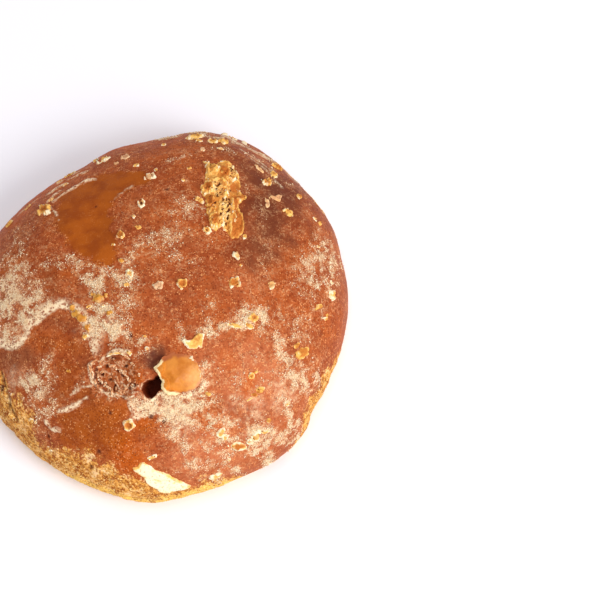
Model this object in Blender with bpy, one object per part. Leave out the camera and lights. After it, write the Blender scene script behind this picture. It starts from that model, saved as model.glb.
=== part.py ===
"""Round block of jaggery: raw cane sugar boiled down, poured into a bowl, set and turned out.

The block is one solid. It lies on its flat foot with the domed side up. The cast skin has a
wide smooth hollow, a collapsed bubble, a blister that broke open into a small dark hole, and
a raised scab of porous crust. Lengths below are in millimetres and bearings in degrees from
+X towards +Y, and the finished mesh is in metres with +Z up.
"""
import math

import bmesh
import bpy
from mathutils import Vector, noise

MM = 0.001

# Driving dimensions of the cast block.
BLOCK_HEIGHT = 53.0
RIM_HEIGHT = 8.0
FOOT_INSET = 5.0

# Radius of the widest ring, one value every 15 degrees of bearing.
RING_RADII = (
    79.0, 80.5, 82.0, 81.0, 84.0, 82.5,
    75.5, 72.5, 69.0, 69.5, 71.5, 74.5,
    76.5, 75.0, 73.0, 73.0, 73.5, 75.5,
    77.5, 77.0, 77.5, 80.0, 77.5, 77.5,
)

# How the ball's faces are shared out: the dome takes the first 125 degrees from the crown.
DOME_SHARE = math.radians(125.0)
FOOT_ROUND_SHARE = 0.25

# Flats pressed on the dome: (bearing, tilt above the horizon, distance from the centre, softness).
FLATS = (
    (52.0, 38.0, 74.5, 0.85),
    (136.0, 46.0, 67.0, 0.70),
    (352.0, 42.0, 71.5, 0.60),
    (238.0, 55.0, 61.5, 0.55),
)

# Uneven setting of the syrup: (size of the waves, height).
SWELLS = ((38.0, 1.1), (15.0, 0.45))
SWELL_OFFSET = Vector((3.7, 1.9, 8.2))

# Places on the dome: centre x, centre y, half length, half width, turn of the length.
SMOOTH_HOLLOW = (-19.5, 25.0, 22.0, 13.5, 100.0)
CRATER = (-7.5, -40.0, 11.0, 9.5, 0.0)
DENT = (5.5, -31.0, 6.5, 5.0, 30.0)
BLISTER = (15.5, -39.5, 9.5, 8.5, 60.0)
HOLE = (5.0, -44.0, 4.0, 3.1, 35.0)
SCAB = (28.0, 33.5, 18.0, 6.5, 97.0)
RIM_BITE = (67.0, -42.0, 8.0, 6.0, 60.0)

SMOOTH_HOLLOW_DEPTH = 1.3
CRATER_DEPTH = 2.2
CRATER_LIP = 0.8
DENT_DEPTH = 1.6
BLISTER_RISE = 3.4
HOLE_DEPTH = 6.0
SCAB_RISE = 2.6
RIM_BITE_DEPTH = 1.5

FINE_MESH_REACH = (13.0, 8.0)

JAGGERY_BROWN = (0.38, 0.115, 0.036, 1.0)
JAGGERY_ROUGHNESS = 0.45


def ring_radius(bearing):
    """Radius of the widest ring at a bearing in radians, a smooth curve through RING_RADII."""
    count = len(RING_RADII)
    place = (bearing / math.tau % 1.0) * count
    first = int(place) % count
    part = place - int(place)
    before = RING_RADII[first - 1]
    start = RING_RADII[first]
    end = RING_RADII[(first + 1) % count]
    after = RING_RADII[(first + 2) % count]
    slope = end - before
    bend = 2.0 * before - 5.0 * start + 4.0 * end - after
    twist = 3.0 * start - before - 3.0 * end + after
    return 0.5 * (2.0 * start + slope * part + bend * part ** 2 + twist * part ** 3)


def ring_middle():
    """Middle of the widest ring's extent in x and y."""
    bearings = [math.radians(step) for step in range(360)]
    xs = [ring_radius(bearing) * math.cos(bearing) for bearing in bearings]
    ys = [ring_radius(bearing) * math.sin(bearing) for bearing in bearings]
    return Vector(((min(xs) + max(xs)) / 2.0, (min(ys) + max(ys)) / 2.0, 0.0))


def cast_form(direction):
    """Point of the plain cast form, and its outward normal, for a direction of the ball."""
    bearing = math.atan2(direction.y, direction.x)
    polar = math.acos(max(-1.0, min(1.0, direction.normalized().z)))
    radius = ring_radius(bearing)
    outward = Vector((math.cos(bearing), math.sin(bearing), 0.0))
    rise = BLOCK_HEIGHT - RIM_HEIGHT
    if polar <= DOME_SHARE:
        arc = polar / DOME_SHARE * math.pi / 2.0
        point = outward * radius * math.sin(arc)
        point.z = RIM_HEIGHT + rise * math.cos(arc)
        normal = outward * math.sin(arc) / radius
        normal.z = math.cos(arc) / rise
        return point, normal.normalized()
    below = (polar - DOME_SHARE) / (math.pi - DOME_SHARE)
    if below < FOOT_ROUND_SHARE:
        arc = below / FOOT_ROUND_SHARE * math.pi / 2.0
        point = outward * (radius - FOOT_INSET * (1.0 - math.cos(arc)))
        point.z = RIM_HEIGHT * (1.0 - math.sin(arc))
        return point, outward
    share = (below - FOOT_ROUND_SHARE) / (1.0 - FOOT_ROUND_SHARE)
    return outward * (radius - FOOT_INSET) * (1.0 - share), Vector((0.0, 0.0, -1.0))


def ease(value):
    """Smooth step from 0 to 1."""
    value = max(0.0, min(1.0, value))
    return value * value * (3.0 - 2.0 * value)


def span(point, place):
    """Distance from a place's middle, in which 1 is the edge of its oval."""
    middle_x, middle_y, half_length, half_width, turn = place
    turn = math.radians(turn)
    along = (point.x - middle_x) * math.cos(turn) + (point.y - middle_y) * math.sin(turn)
    across = (point.y - middle_y) * math.cos(turn) - (point.x - middle_x) * math.sin(turn)
    return math.hypot(along / half_length, across / half_width)


def bump(distance):
    """Rounded mound that is 1 in the middle of an oval and 0 from its edge on."""
    return ease(1.0 - distance)


def relief(point):
    """Height of the dome's marks above the plain cast form, before the block is centred."""
    height = 0.0
    for size, amount in SWELLS:
        height += amount * noise.noise(point / size + SWELL_OFFSET)
    height -= SMOOTH_HOLLOW_DEPTH * bump(span(point, SMOOTH_HOLLOW))
    crater = span(point, CRATER)
    height -= CRATER_DEPTH * ease(1.6 * (1.0 - crater))
    height += CRATER_LIP * bump(abs(crater - 1.08) / 0.3)
    height -= DENT_DEPTH * bump(span(point, DENT))
    height += BLISTER_RISE * ease(1.5 * (1.0 - span(point, BLISTER)))
    height += SCAB_RISE * ease(2.2 * (1.0 - span(point, SCAB)))
    height -= RIM_BITE_DEPTH * bump(span(point, RIM_BITE))
    hole = ease(2.2 * (1.25 - span(point, HOLE)))
    return height - (HOLE_DEPTH + BLISTER_RISE) * hole


def press_flats(point):
    """Point after the flats have pushed it in."""
    for bearing, tilt, distance, softness in FLATS:
        bearing = math.radians(bearing)
        tilt = math.radians(tilt)
        normal = Vector((
            math.cos(tilt) * math.cos(bearing),
            math.cos(tilt) * math.sin(bearing),
            math.sin(tilt),
        ))
        proud = normal.dot(point) - distance
        if proud > 0.0:
            point = point - normal * proud * softness
    return point


def block_point(direction):
    """Finished point of the block, in millimetres, for a direction of the ball."""
    point, normal = cast_form(direction)
    if normal.z < 0.0 or point.z == 0.0:
        return point
    marked = press_flats(point) + normal * relief(point)
    fade = ease(point.z / RIM_HEIGHT)
    shaped = point.lerp(marked, fade)
    shaped.z = max(shaped.z, 0.0)
    return shaped


def refine_near_hole(mesh):
    """Split the ball's faces where the small hole and the blister's edge need them."""
    centre = Vector(HOLE[:2])
    for reach in FINE_MESH_REACH:
        near = {
            vertex
            for vertex in mesh.verts
            if vertex.co.z > 0.0 and (cast_form(vertex.co)[0].xy - centre).length < reach
        }
        edges = [edge for edge in mesh.edges if near.issuperset(edge.verts)]
        bmesh.ops.subdivide_edges(mesh, edges=edges, cuts=1)
        bmesh.ops.triangulate(mesh, faces=mesh.faces[:])


def centre_on_foot(mesh):
    """Move the block so that its box stands centred on the origin."""
    xs = [vertex.co.x for vertex in mesh.verts]
    ys = [vertex.co.y for vertex in mesh.verts]
    middle = Vector(((min(xs) + max(xs)) / 2.0, (min(ys) + max(ys)) / 2.0, 0.0))
    bmesh.ops.translate(mesh, verts=mesh.verts[:], vec=-middle)


def jaggery_material():
    """Plain warm brown of set jaggery."""
    material = bpy.data.materials.new("jaggery")
    material.use_nodes = True
    shader = material.node_tree.nodes["Principled BSDF"]
    shader.inputs["Base Color"].default_value = JAGGERY_BROWN
    shader.inputs["Roughness"].default_value = JAGGERY_ROUGHNESS
    shader.inputs["Metallic"].default_value = 0.0
    return material


def build_block():
    """The block as one closed, smooth-shaded mesh."""
    mesh = bmesh.new()
    bmesh.ops.create_icosphere(mesh, subdivisions=5, radius=1.0)
    refine_near_hole(mesh)
    middle = ring_middle()
    for vertex in mesh.verts:
        vertex.co = (block_point(vertex.co) - middle) * MM
    centre_on_foot(mesh)
    bmesh.ops.triangulate(mesh, faces=mesh.faces[:])
    data = bpy.data.meshes.new("jaggery_block")
    mesh.to_mesh(data)
    mesh.free()
    data.materials.append(jaggery_material())
    data.shade_smooth()
    block = bpy.data.objects.new("jaggery_block", data)
    bpy.context.scene.collection.objects.link(block)
    return block


def main():
    """Clear the scene and build the block."""
    for old in list(bpy.data.objects):
        bpy.data.objects.remove(old, do_unlink=True)
    build_block()


main()
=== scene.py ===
"""Round bowl-cast block of jaggery, dressed in its set skin, crusts, blister, flakes and bloom.

Sizes in the classes are millimetres in the casting's own frame: the middle of the bowl is the
origin, +X runs to the block's right, -Y to its front and +Z up from the flat foot. ``Casting``
holds the plain form, ``Skin`` lays the fine surface over it, and every other class makes pieces
that lie on that skin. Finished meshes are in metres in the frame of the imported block.
"""
import itertools
import logging
import math
from dataclasses import dataclass, replace
from enum import Enum

import bmesh
import bpy
import numpy as np
from mathutils import Matrix, Vector, noise
from mathutils.bvhtree import BVHTree


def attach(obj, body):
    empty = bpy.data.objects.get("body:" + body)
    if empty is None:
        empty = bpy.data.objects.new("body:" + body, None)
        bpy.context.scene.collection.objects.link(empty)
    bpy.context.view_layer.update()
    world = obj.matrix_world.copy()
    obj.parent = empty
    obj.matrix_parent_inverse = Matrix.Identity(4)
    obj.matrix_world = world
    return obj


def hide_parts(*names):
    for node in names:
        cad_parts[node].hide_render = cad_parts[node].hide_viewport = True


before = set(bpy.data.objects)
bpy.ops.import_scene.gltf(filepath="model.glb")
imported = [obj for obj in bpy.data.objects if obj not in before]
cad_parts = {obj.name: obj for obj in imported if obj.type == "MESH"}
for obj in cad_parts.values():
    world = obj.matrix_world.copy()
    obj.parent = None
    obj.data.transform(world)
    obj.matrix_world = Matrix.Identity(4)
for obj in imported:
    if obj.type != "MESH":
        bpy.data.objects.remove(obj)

LOG = logging.getLogger("jaggery_block")
MM = 0.001
BLOCK = "jaggery_block"
BODY = "root"
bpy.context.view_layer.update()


class Slot(Enum):
    """Material slots of the record, listed by name; the script does not use them."""

    SKIN = "jaggery_skin"
    AMBER = "amber_glaze"
    CRUST = "cream_crust"
    PALE = "pale_sugar"


def srgb(red: int, green: int, blue: int) -> tuple[float, float, float, float]:
    """Colour seen by the eye, 0 to 255 a channel, as the linear colour that a shader takes.

    Args:
        red: Red as seen, 0 to 255.
        green: Green as seen, 0 to 255.
        blue: Blue as seen, 0 to 255.

    Returns:
        Linear red, green and blue with an alpha of 1.
    """
    linear = []
    for channel in (red, green, blue):
        seen = channel / 255.0
        linear.append(seen / 12.92 if seen <= 0.04045 else ((seen + 0.055) / 1.055) ** 2.4)
    return (*linear, 1.0)


def ease(value: np.ndarray) -> np.ndarray:
    """Smooth step from 0 to 1 of every value."""
    value = np.clip(value, 0.0, 1.0)
    return value * value * (3.0 - 2.0 * value)


class Turbulence:
    """Smooth repeatable unevenness, drawn once from a seed."""

    def __init__(self, seed: int) -> None:
        """Draw the table of slopes.

        Args:
            seed: Number that fixes the pattern.
        """
        rng = np.random.default_rng(seed)
        self.order = rng.permutation(256)
        slopes = rng.normal(size=(256, 3))
        self.slopes = slopes / np.linalg.norm(slopes, axis=1, keepdims=True)

    def _look_up(self, cells: np.ndarray) -> np.ndarray:
        """Table row of every lattice cell."""
        row = self.order[cells[:, 0] & 255]
        row = self.order[(row + cells[:, 1]) & 255]
        return self.order[(row + cells[:, 2]) & 255]

    def wave(self, points: np.ndarray, size: float, octaves: int = 1) -> np.ndarray:
        """Rolling unevenness between about -1 and 1.

        Args:
            points: Places in millimetres, one row each.
            size: Length of the longest waves in millimetres.
            octaves: How many times finer waves are added, each half as long and high.

        Returns:
            One value for each place.
        """
        total = np.zeros(len(points))
        height = 1.0
        for octave in range(octaves):
            scaled = points / (size * 0.5 ** octave) + 17.3 * octave
            cells = np.floor(scaled).astype(np.int64)
            part = scaled - cells
            fade = part ** 3 * (part * (part * 6.0 - 15.0) + 10.0)
            for corner in itertools.product((0, 1), repeat=3):
                slope = self.slopes[self._look_up(cells + corner)]
                ramp = np.einsum("ij,ij->i", part - corner, slope)
                share = np.prod(np.where(corner, fade, 1.0 - fade), axis=1)
                total += height * 1.7 * ramp * share
            height *= 0.5
        return total

    def cells(self, points: np.ndarray, size: float) -> np.ndarray:
        """Distance to the nearest of scattered centres, in cell sizes.

        Args:
            points: Places in millimetres, one row each.
            size: Mean distance between centres in millimetres.

        Returns:
            One distance for each place, 0 on a centre and about 1 far from all.
        """
        scaled = points / size
        home = np.floor(scaled).astype(np.int64)
        nearest = np.full(len(points), 9.0)
        for step in itertools.product((-1, 0, 1), repeat=3):
            cells = home + step
            jitter = 0.5 + 0.45 * self.slopes[self._look_up(cells)]
            nearest = np.minimum(nearest, np.linalg.norm(cells + jitter - scaled, axis=1))
        return nearest


@dataclass(frozen=True)
class Spot:
    """Oval place on the block, seen from above, in millimetres and degrees."""

    x: float
    y: float
    half_length: float
    half_width: float
    turn: float = 0.0
    strength: float = 1.0

    def span(self, points: np.ndarray) -> np.ndarray:
        """Distance of each point from the middle, in which 1 is the oval's edge."""
        turn = math.radians(self.turn)
        east = points[:, 0] - self.x
        north = points[:, 1] - self.y
        along = east * math.cos(turn) + north * math.sin(turn)
        across = north * math.cos(turn) - east * math.sin(turn)
        return np.hypot(along / self.half_length, across / self.half_width)

    def cover(self, points: np.ndarray, hardness: float = 1.0) -> np.ndarray:
        """Strength in the middle, easing to 0 at the edge; a harder spot has a flatter top."""
        return self.strength * ease(hardness * (1.0 - self.span(points)))


@dataclass(frozen=True)
class Trail:
    """Line drawn over the block, seen from above, such as a ridge or the edge of a film."""

    course: tuple[tuple[float, float], ...]
    width: float
    strength: float = 1.0

    def distance(self, points: np.ndarray) -> tuple[np.ndarray, np.ndarray]:
        """Nearest distance to the line.

        Args:
            points: Places in millimetres, one row each.

        Returns:
            The distance of each place, and the side it is on: 1 left of the course, -1 right.
        """
        best = np.full(len(points), 1e9)
        side = np.ones(len(points))
        flat = points[:, :2]
        for start, end in itertools.pairwise(np.asarray(self.course)):
            run = end - start
            offset = flat - start
            part = np.clip(offset @ run / (run @ run), 0.0, 1.0)
            away = np.linalg.norm(offset - part[:, None] * run, axis=1)
            turn = run[0] * offset[:, 1] - run[1] * offset[:, 0]
            side = np.where(away < best, np.where(turn >= 0.0, 1.0, -1.0), side)
            best = np.minimum(best, away)
        return best, side

    def cover(self, points: np.ndarray) -> np.ndarray:
        """Strength on the line, easing to 0 at its width on both sides."""
        return self.strength * ease(1.0 - self.distance(points)[0] / self.width)


@dataclass(frozen=True)
class Patch:
    """Closed patch on the block, seen from above, whose corners go round it, in millimetres."""

    corners: tuple[tuple[float, float], ...]
    strength: float = 1.0

    def depth(self, points: np.ndarray) -> np.ndarray:
        """How far each point lies inside the border; outside is negative."""
        inside = np.zeros(len(points), dtype=bool)
        for start, end in zip(self.corners, (*self.corners[1:], self.corners[0])):
            spanned = (start[1] > points[:, 1]) != (end[1] > points[:, 1])
            slant = (end[0] - start[0]) / (end[1] - start[1] or 1.0)
            inside ^= spanned & (points[:, 0] < start[0] + (points[:, 1] - start[1]) * slant)
        away, _ = Trail((*self.corners, self.corners[0]), 1.0).distance(points)
        return np.where(inside, away, -away)


@dataclass(frozen=True)
class Casting:
    """Plain cast form of the block: a low dome with an uneven ring, on a flat foot."""

    height: float = 53.0
    rim_height: float = 8.0
    foot_inset: float = 5.0
    ring_radii: tuple[float, ...] = (
        79.0, 80.5, 82.0, 81.0, 84.0, 82.5,
        75.5, 72.5, 69.0, 69.5, 71.5, 74.5,
        76.5, 75.0, 73.0, 73.0, 73.5, 75.5,
        77.5, 77.0, 77.5, 80.0, 77.5, 77.5,
    )
    dome_share: float = math.radians(125.0)
    foot_round_share: float = 0.25
    flats: tuple[tuple[float, float, float, float], ...] = (
        (52.0, 38.0, 74.5, 0.85),
        (136.0, 46.0, 67.0, 0.70),
        (352.0, 42.0, 71.5, 0.60),
        (238.0, 55.0, 61.5, 0.55),
    )
    swells: tuple[tuple[float, float], ...] = ((38.0, 1.1), (15.0, 0.45))
    swell_offset: tuple[float, float, float] = (3.7, 1.9, 8.2)

    def ring_radius(self, bearing: np.ndarray) -> np.ndarray:
        """Radius of the widest ring at each bearing in radians."""
        radii = np.asarray(self.ring_radii)
        count = len(radii)
        place = (bearing / math.tau % 1.0) * count
        first = np.floor(place).astype(int) % count
        part = place - np.floor(place)
        before, start = radii[first - 1], radii[first]
        end, after = radii[(first + 1) % count], radii[(first + 2) % count]
        bend = 2.0 * before - 5.0 * start + 4.0 * end - after
        twist = 3.0 * start - before - 3.0 * end + after
        return 0.5 * (2.0 * start + (end - before) * part + bend * part ** 2 + twist * part ** 3)

    def lay(self, directions: np.ndarray) -> tuple[np.ndarray, np.ndarray]:
        """Lay directions of a ball on the cast form.

        Args:
            directions: Directions from the ball's middle, one row each.

        Returns:
            The points on the form and their outward normals.
        """
        unit = directions / np.linalg.norm(directions, axis=1, keepdims=True)
        bearing = np.arctan2(unit[:, 1], unit[:, 0])
        polar = np.arccos(np.clip(unit[:, 2], -1.0, 1.0))
        radius = self.ring_radius(bearing)
        rise = self.height - self.rim_height
        below = np.clip((polar - self.dome_share) / (math.pi - self.dome_share), 0.0, 1.0)
        climb = np.clip(polar / self.dome_share, 0.0, 1.0) * math.pi / 2.0
        round_arc = np.clip(below / self.foot_round_share, 0.0, 1.0) * math.pi / 2.0
        inward = np.clip((below - self.foot_round_share) / (1.0 - self.foot_round_share), 0.0, 1.0)
        dome = below == 0.0
        foot = inward > 0.0
        reach = np.where(dome, radius * np.sin(climb), radius - self.foot_inset * (1.0 - np.cos(round_arc)))
        reach = np.where(foot, (radius - self.foot_inset) * (1.0 - inward), reach)
        level = np.where(dome, self.rim_height + rise * np.cos(climb), self.rim_height * (1.0 - np.sin(round_arc)))
        level = np.where(foot, 0.0, level)
        outward = np.where(dome, np.sin(climb) / radius, np.where(foot, 0.0, 1.0))
        upward = np.where(dome, np.cos(climb) / rise, np.where(foot, -1.0, 0.0))
        east, north = np.cos(bearing), np.sin(bearing)
        points = np.stack((east * reach, north * reach, level), axis=1)
        normals = np.stack((east * outward, north * outward, upward), axis=1)
        return points, normals / np.linalg.norm(normals, axis=1, keepdims=True)

    def press_flats(self, points: np.ndarray) -> np.ndarray:
        """Points after the flats of the dome have pushed them in."""
        for bearing, tilt, distance, softness in self.flats:
            bearing, tilt = math.radians(bearing), math.radians(tilt)
            normal = np.array((
                math.cos(tilt) * math.cos(bearing),
                math.cos(tilt) * math.sin(bearing),
                math.sin(tilt),
            ))
            proud = np.maximum(points @ normal - distance, 0.0)
            points = points - normal * (proud * softness)[:, None]
        return points

    def swell(self, points: np.ndarray) -> np.ndarray:
        """Height of the slow unevenness that the syrup set with."""
        height = np.zeros(len(points))
        offset = Vector(self.swell_offset)
        for size, amount in self.swells:
            height += amount * np.array([noise.noise(Vector(point) / size + offset) for point in points])
        return height


@dataclass(frozen=True)
class SkinMarks:
    """Where the marks of the skin lie on the dome."""

    smooth_hollow: Spot = Spot(-19.5, 25.0, 22.0, 13.5, 100.0, 1.3)
    crater: Spot = Spot(-8.6, -40.2, 9.6, 9.2, 0.0, 2.2)
    # Dent sunk into the relief and darkened with painted shade.
    shaded_dent: Spot = Spot(6.2, -34.2, 6.5, 3.6, 50.0, 1.5)
    blister: Spot = Spot(15.0, -40.0, 13.0, 11.0, 60.0, 1.1)
    hole_depth: float = 8.0
    hole: Patch = Patch((
        (1.7, -44.6), (2.3, -43.2), (3.6, -42.2), (5.6, -41.8), (6.8, -40.6), (8.4, -40.2), (9.8, -41.4),
        (9.8, -43.6), (8.2, -44.9), (7.0, -45.8), (6.2, -47.0), (4.8, -48.0), (3.0, -47.4), (2.0, -46.0),
    ))
    scab: Spot = Spot(28.5, 34.0, 17.0, 5.5, 97.0, 1.2)
    rim_bite: Spot = Spot(67.0, -42.0, 8.0, 6.0, 60.0, 1.5)

    # Clean smooth amber skin with crisp borders.
    amber: tuple[Patch, ...] = (
        Patch((
            (-36.0, 28.0), (-34.0, 23.5), (-31.5, 16.5), (-29.0, 11.0), (-23.0, 6.5), (-17.5, 2.5),
            (-12.5, 1.0), (-10.0, 4.0), (-10.0, 12.0), (-12.0, 17.5), (-13.5, 25.0), (-13.0, 31.0),
            (-8.5, 36.0), (-3.0, 39.0), (4.0, 42.0), (2.0, 46.0), (-6.0, 46.0), (-13.0, 48.0),
            (-19.0, 47.5), (-24.0, 45.5), (-29.0, 42.5), (-35.5, 37.0),
        ), 0.92),
        Patch((
            (-29.0, -50.5), (-24.5, -49.0), (-19.5, -48.0), (-15.0, -47.8), (-9.5, -48.7), (-4.5, -49.6),
            (-3.6, -52.0), (-5.3, -55.0), (-6.2, -58.5), (-2.5, -60.2), (-8.0, -64.0), (-10.5, -66.5),
            (-16.0, -66.0), (-22.0, -65.0), (-26.0, -62.5), (-30.0, -60.0), (-33.0, -58.0), (-31.0, -55.0),
        ), 0.72),
        Patch((
            (-40.5, -24.0), (-35.5, -22.5), (-30.0, -24.5), (-23.0, -26.5), (-18.5, -30.0),
            (-19.5, -34.0), (-25.0, -33.0), (-30.5, -29.5), (-37.0, -29.0),
        ), 0.45),
        Patch((
            (-22.7, -44.5), (-18.8, -43.8), (-15.7, -44.4), (-17.0, -46.2), (-21.3, -47.6), (-23.9, -47.0),
        ), 0.7),
        Patch((
            (-31.0, -33.5), (-25.5, -33.5), (-21.0, -35.5), (-21.5, -38.0), (-24.0, -40.5),
            (-24.0, -44.0), (-27.0, -46.0), (-30.5, -47.5), (-30.0, -41.0),
        ), 0.5),
        Patch(((-0.5, -56.5), (3.0, -55.8), (5.6, -56.2), (5.2, -59.2), (2.0, -60.8), (-1.0, -60.0)), 0.6),
    )
    # Yellowish plate of set film beside the hole.
    plate: Patch = Patch((
        (-3.7, -49.7), (-1.5, -48.6), (2.0, -48.9), (5.6, -49.3), (7.2, -51.4),
        (5.0, -54.3), (2.0, -54.3), (-1.0, -55.4), (-1.9, -53.0),
    ))
    # Small deep pits, and a crease inside the left rim, both sunk into the relief and darkened with painted shade.
    pits: tuple[Spot, ...] = (
        Spot(-54.5, -38.5, 1.1, 1.5), Spot(-51.9, -44.7, 0.8, 1.0), Spot(-15.5, -64.6, 1.0, 0.8),
        Spot(-10.5, -52.6, 0.8, 0.8), Spot(4.7, -54.2, 1.1, 1.0), Spot(-19.0, -68.6, 0.8, 0.8),
        Spot(-2.8, -25.8, 0.8, 1.3), Spot(9.4, -55.6, 0.9, 0.7), Spot(-35.5, -57.5, 0.7, 0.7),
        Spot(8.0, 36.0, 0.7, 0.7), Spot(-20.0, 30.0, 0.5, 0.5),
    )
    # Gaps under the curled flakes of the crater, sunk into the relief and darkened with painted shade.
    gaps: tuple[Spot, ...] = (
        Spot(-15.8, -38.2, 0.8, 1.8, 170.0), Spot(-16.3, -40.4, 0.7, 1.3, 175.0),
        Spot(-13.8, -39.6, 0.9, 0.7), Spot(-14.7, -42.4, 1.2, 0.6, 130.0),
        Spot(-12.3, -43.2, 1.0, 0.6, 140.0), Spot(-11.0, -41.5, 0.9, 0.6, 20.0),
        Spot(-9.0, -44.4, 0.6, 1.6, 170.0), Spot(-10.0, -33.9, 2.2, 0.9, 8.0),
        Spot(-6.2, -40.2, 1.0, 0.6, 140.0), Spot(-7.8, -38.6, 0.8, 0.6),
        Spot(-3.2, -44.6, 1.2, 0.5, 150.0), Spot(-1.2, -43.4, 0.8, 0.6, 120.0),
        Spot(-12.0, -36.6, 0.9, 0.7, 40.0), Spot(-4.6, -36.8, 1.0, 0.6, 20.0),
    )
    crease: Trail = Trail(
        ((-54.9, -33.3), (-53.4, -37.1), (-51.8, -42.0), (-50.6, -46.3), (-48.3, -49.6)), 0.7, 0.9,
    )
    # Orange skin. The long spots along the upper-left and back rim paint the glow of light shining through the thin
    # edge.
    orange: tuple[Spot, ...] = (
        Spot(-4.0, -67.0, 9.0, 7.0, 110.0, 1.2),
        Spot(-4.0, 70.0, 20.0, 8.0, 10.0, 0.9),
        Spot(2.0, -56.0, 5.0, 4.0, 0.0, 0.9),
        Spot(32.0, -55.0, 6.0, 4.0, 0.0, 0.7),
        Spot(33.0, -34.0, 5.0, 7.0, 20.0, 0.6),
        Spot(41.0, -40.0, 3.0, 6.0, 160.0, 0.9),
        Spot(23.0, -55.5, 5.0, 3.0, 0.0, 0.6),
        Spot(-31.0, -1.0, 5.0, 3.0, 0.0, 0.6),
        Spot(0.2, -41.6, 3.0, 3.6, 20.0, 0.9),
        Spot(-4.0, -38.5, 5.0, 4.0, 0.0, 0.4),
        Spot(-42.0, 47.0, 17.0, 5.0, 46.0, 0.9),
        Spot(-22.0, 62.0, 14.0, 5.0, 22.0, 0.8),
        Spot(-53.0, 33.0, 9.0, 5.0, 62.0, 0.85),
        Spot(-38.0, 48.5, 28.0, 5.0, 34.0, 0.9),
    )
    # Mauve-brown skin under a thin even haze. The spots right of the scab paint the shadow of a neighbouring block, and
    # the spot at (6, -33) paints shade in the dent.
    mauve_and_shadow: tuple[Spot, ...] = (
        Spot(-51.0, -29.5, 12.0, 4.5, 172.0, 1.3),
        Spot(-47.0, 25.0, 10.0, 7.0, 60.0, 0.35),
        Spot(44.0, 44.0, 16.0, 9.0, 140.0, 0.9),
        Spot(6.0, -33.0, 6.0, 4.0, 30.0, 1.0),
        Spot(46.0, 22.0, 9.0, 18.0, 0.0, 1.2),
    )
    # Darker dusky skin. The large spots right of the scab are painted shadow of a neighbouring block, and the spot at
    # (5, -34.4) is painted shade in the dent.
    dusky_and_shadow: tuple[Spot, ...] = (
        Spot(47.0, 30.0, 13.0, 22.0, 0.0, 1.0),
        Spot(5.0, -34.4, 5.5, 3.5, 45.0, 0.9),
        Spot(37.0, 10.0, 10.0, 7.0, 0.0, 0.45),
        Spot(34.0, 56.0, 16.0, 6.0, 145.0, 0.5),
        Spot(54.0, 42.0, 18.0, 9.0, 128.0, 0.85),
        Spot(-53.0, -28.0, 12.0, 5.0, 172.0, 0.4),
        Spot(-34.0, -2.0, 4.0, 9.0, 20.0, 0.45),
        Spot(-29.0, -20.0, 9.0, 3.0, 150.0, 0.4),
        Spot(-7.0, -31.0, 8.0, 2.0, 10.0, 0.35),
        Spot(-34.0, -44.0, 5.0, 7.0, 20.0, 0.3),
        Spot(30.0, -7.0, 12.0, 3.0, 175.0, 0.25),
        Spot(43.0, 28.0, 9.0, 10.0, 0.0, 0.3),
        Spot(-23.0, -53.0, 13.0, 9.0, 25.0, 0.16),
        Spot(-31.0, -39.0, 8.0, 7.0, 0.0, 0.14),
    )
    # Rosy skin that paints the pink sheen of the key light on the lower right, laid into the colour as a pale haze.
    rosy_sheen: tuple[Spot, ...] = (
        Spot(42.0, -38.0, 22.0, 15.0, 160.0, 1.2),
        Spot(38.0, -4.0, 10.0, 8.0, 0.0, 0.30),
        Spot(25.0, -64.0, 24.0, 9.0, 15.0, 1.0),
    )
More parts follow.
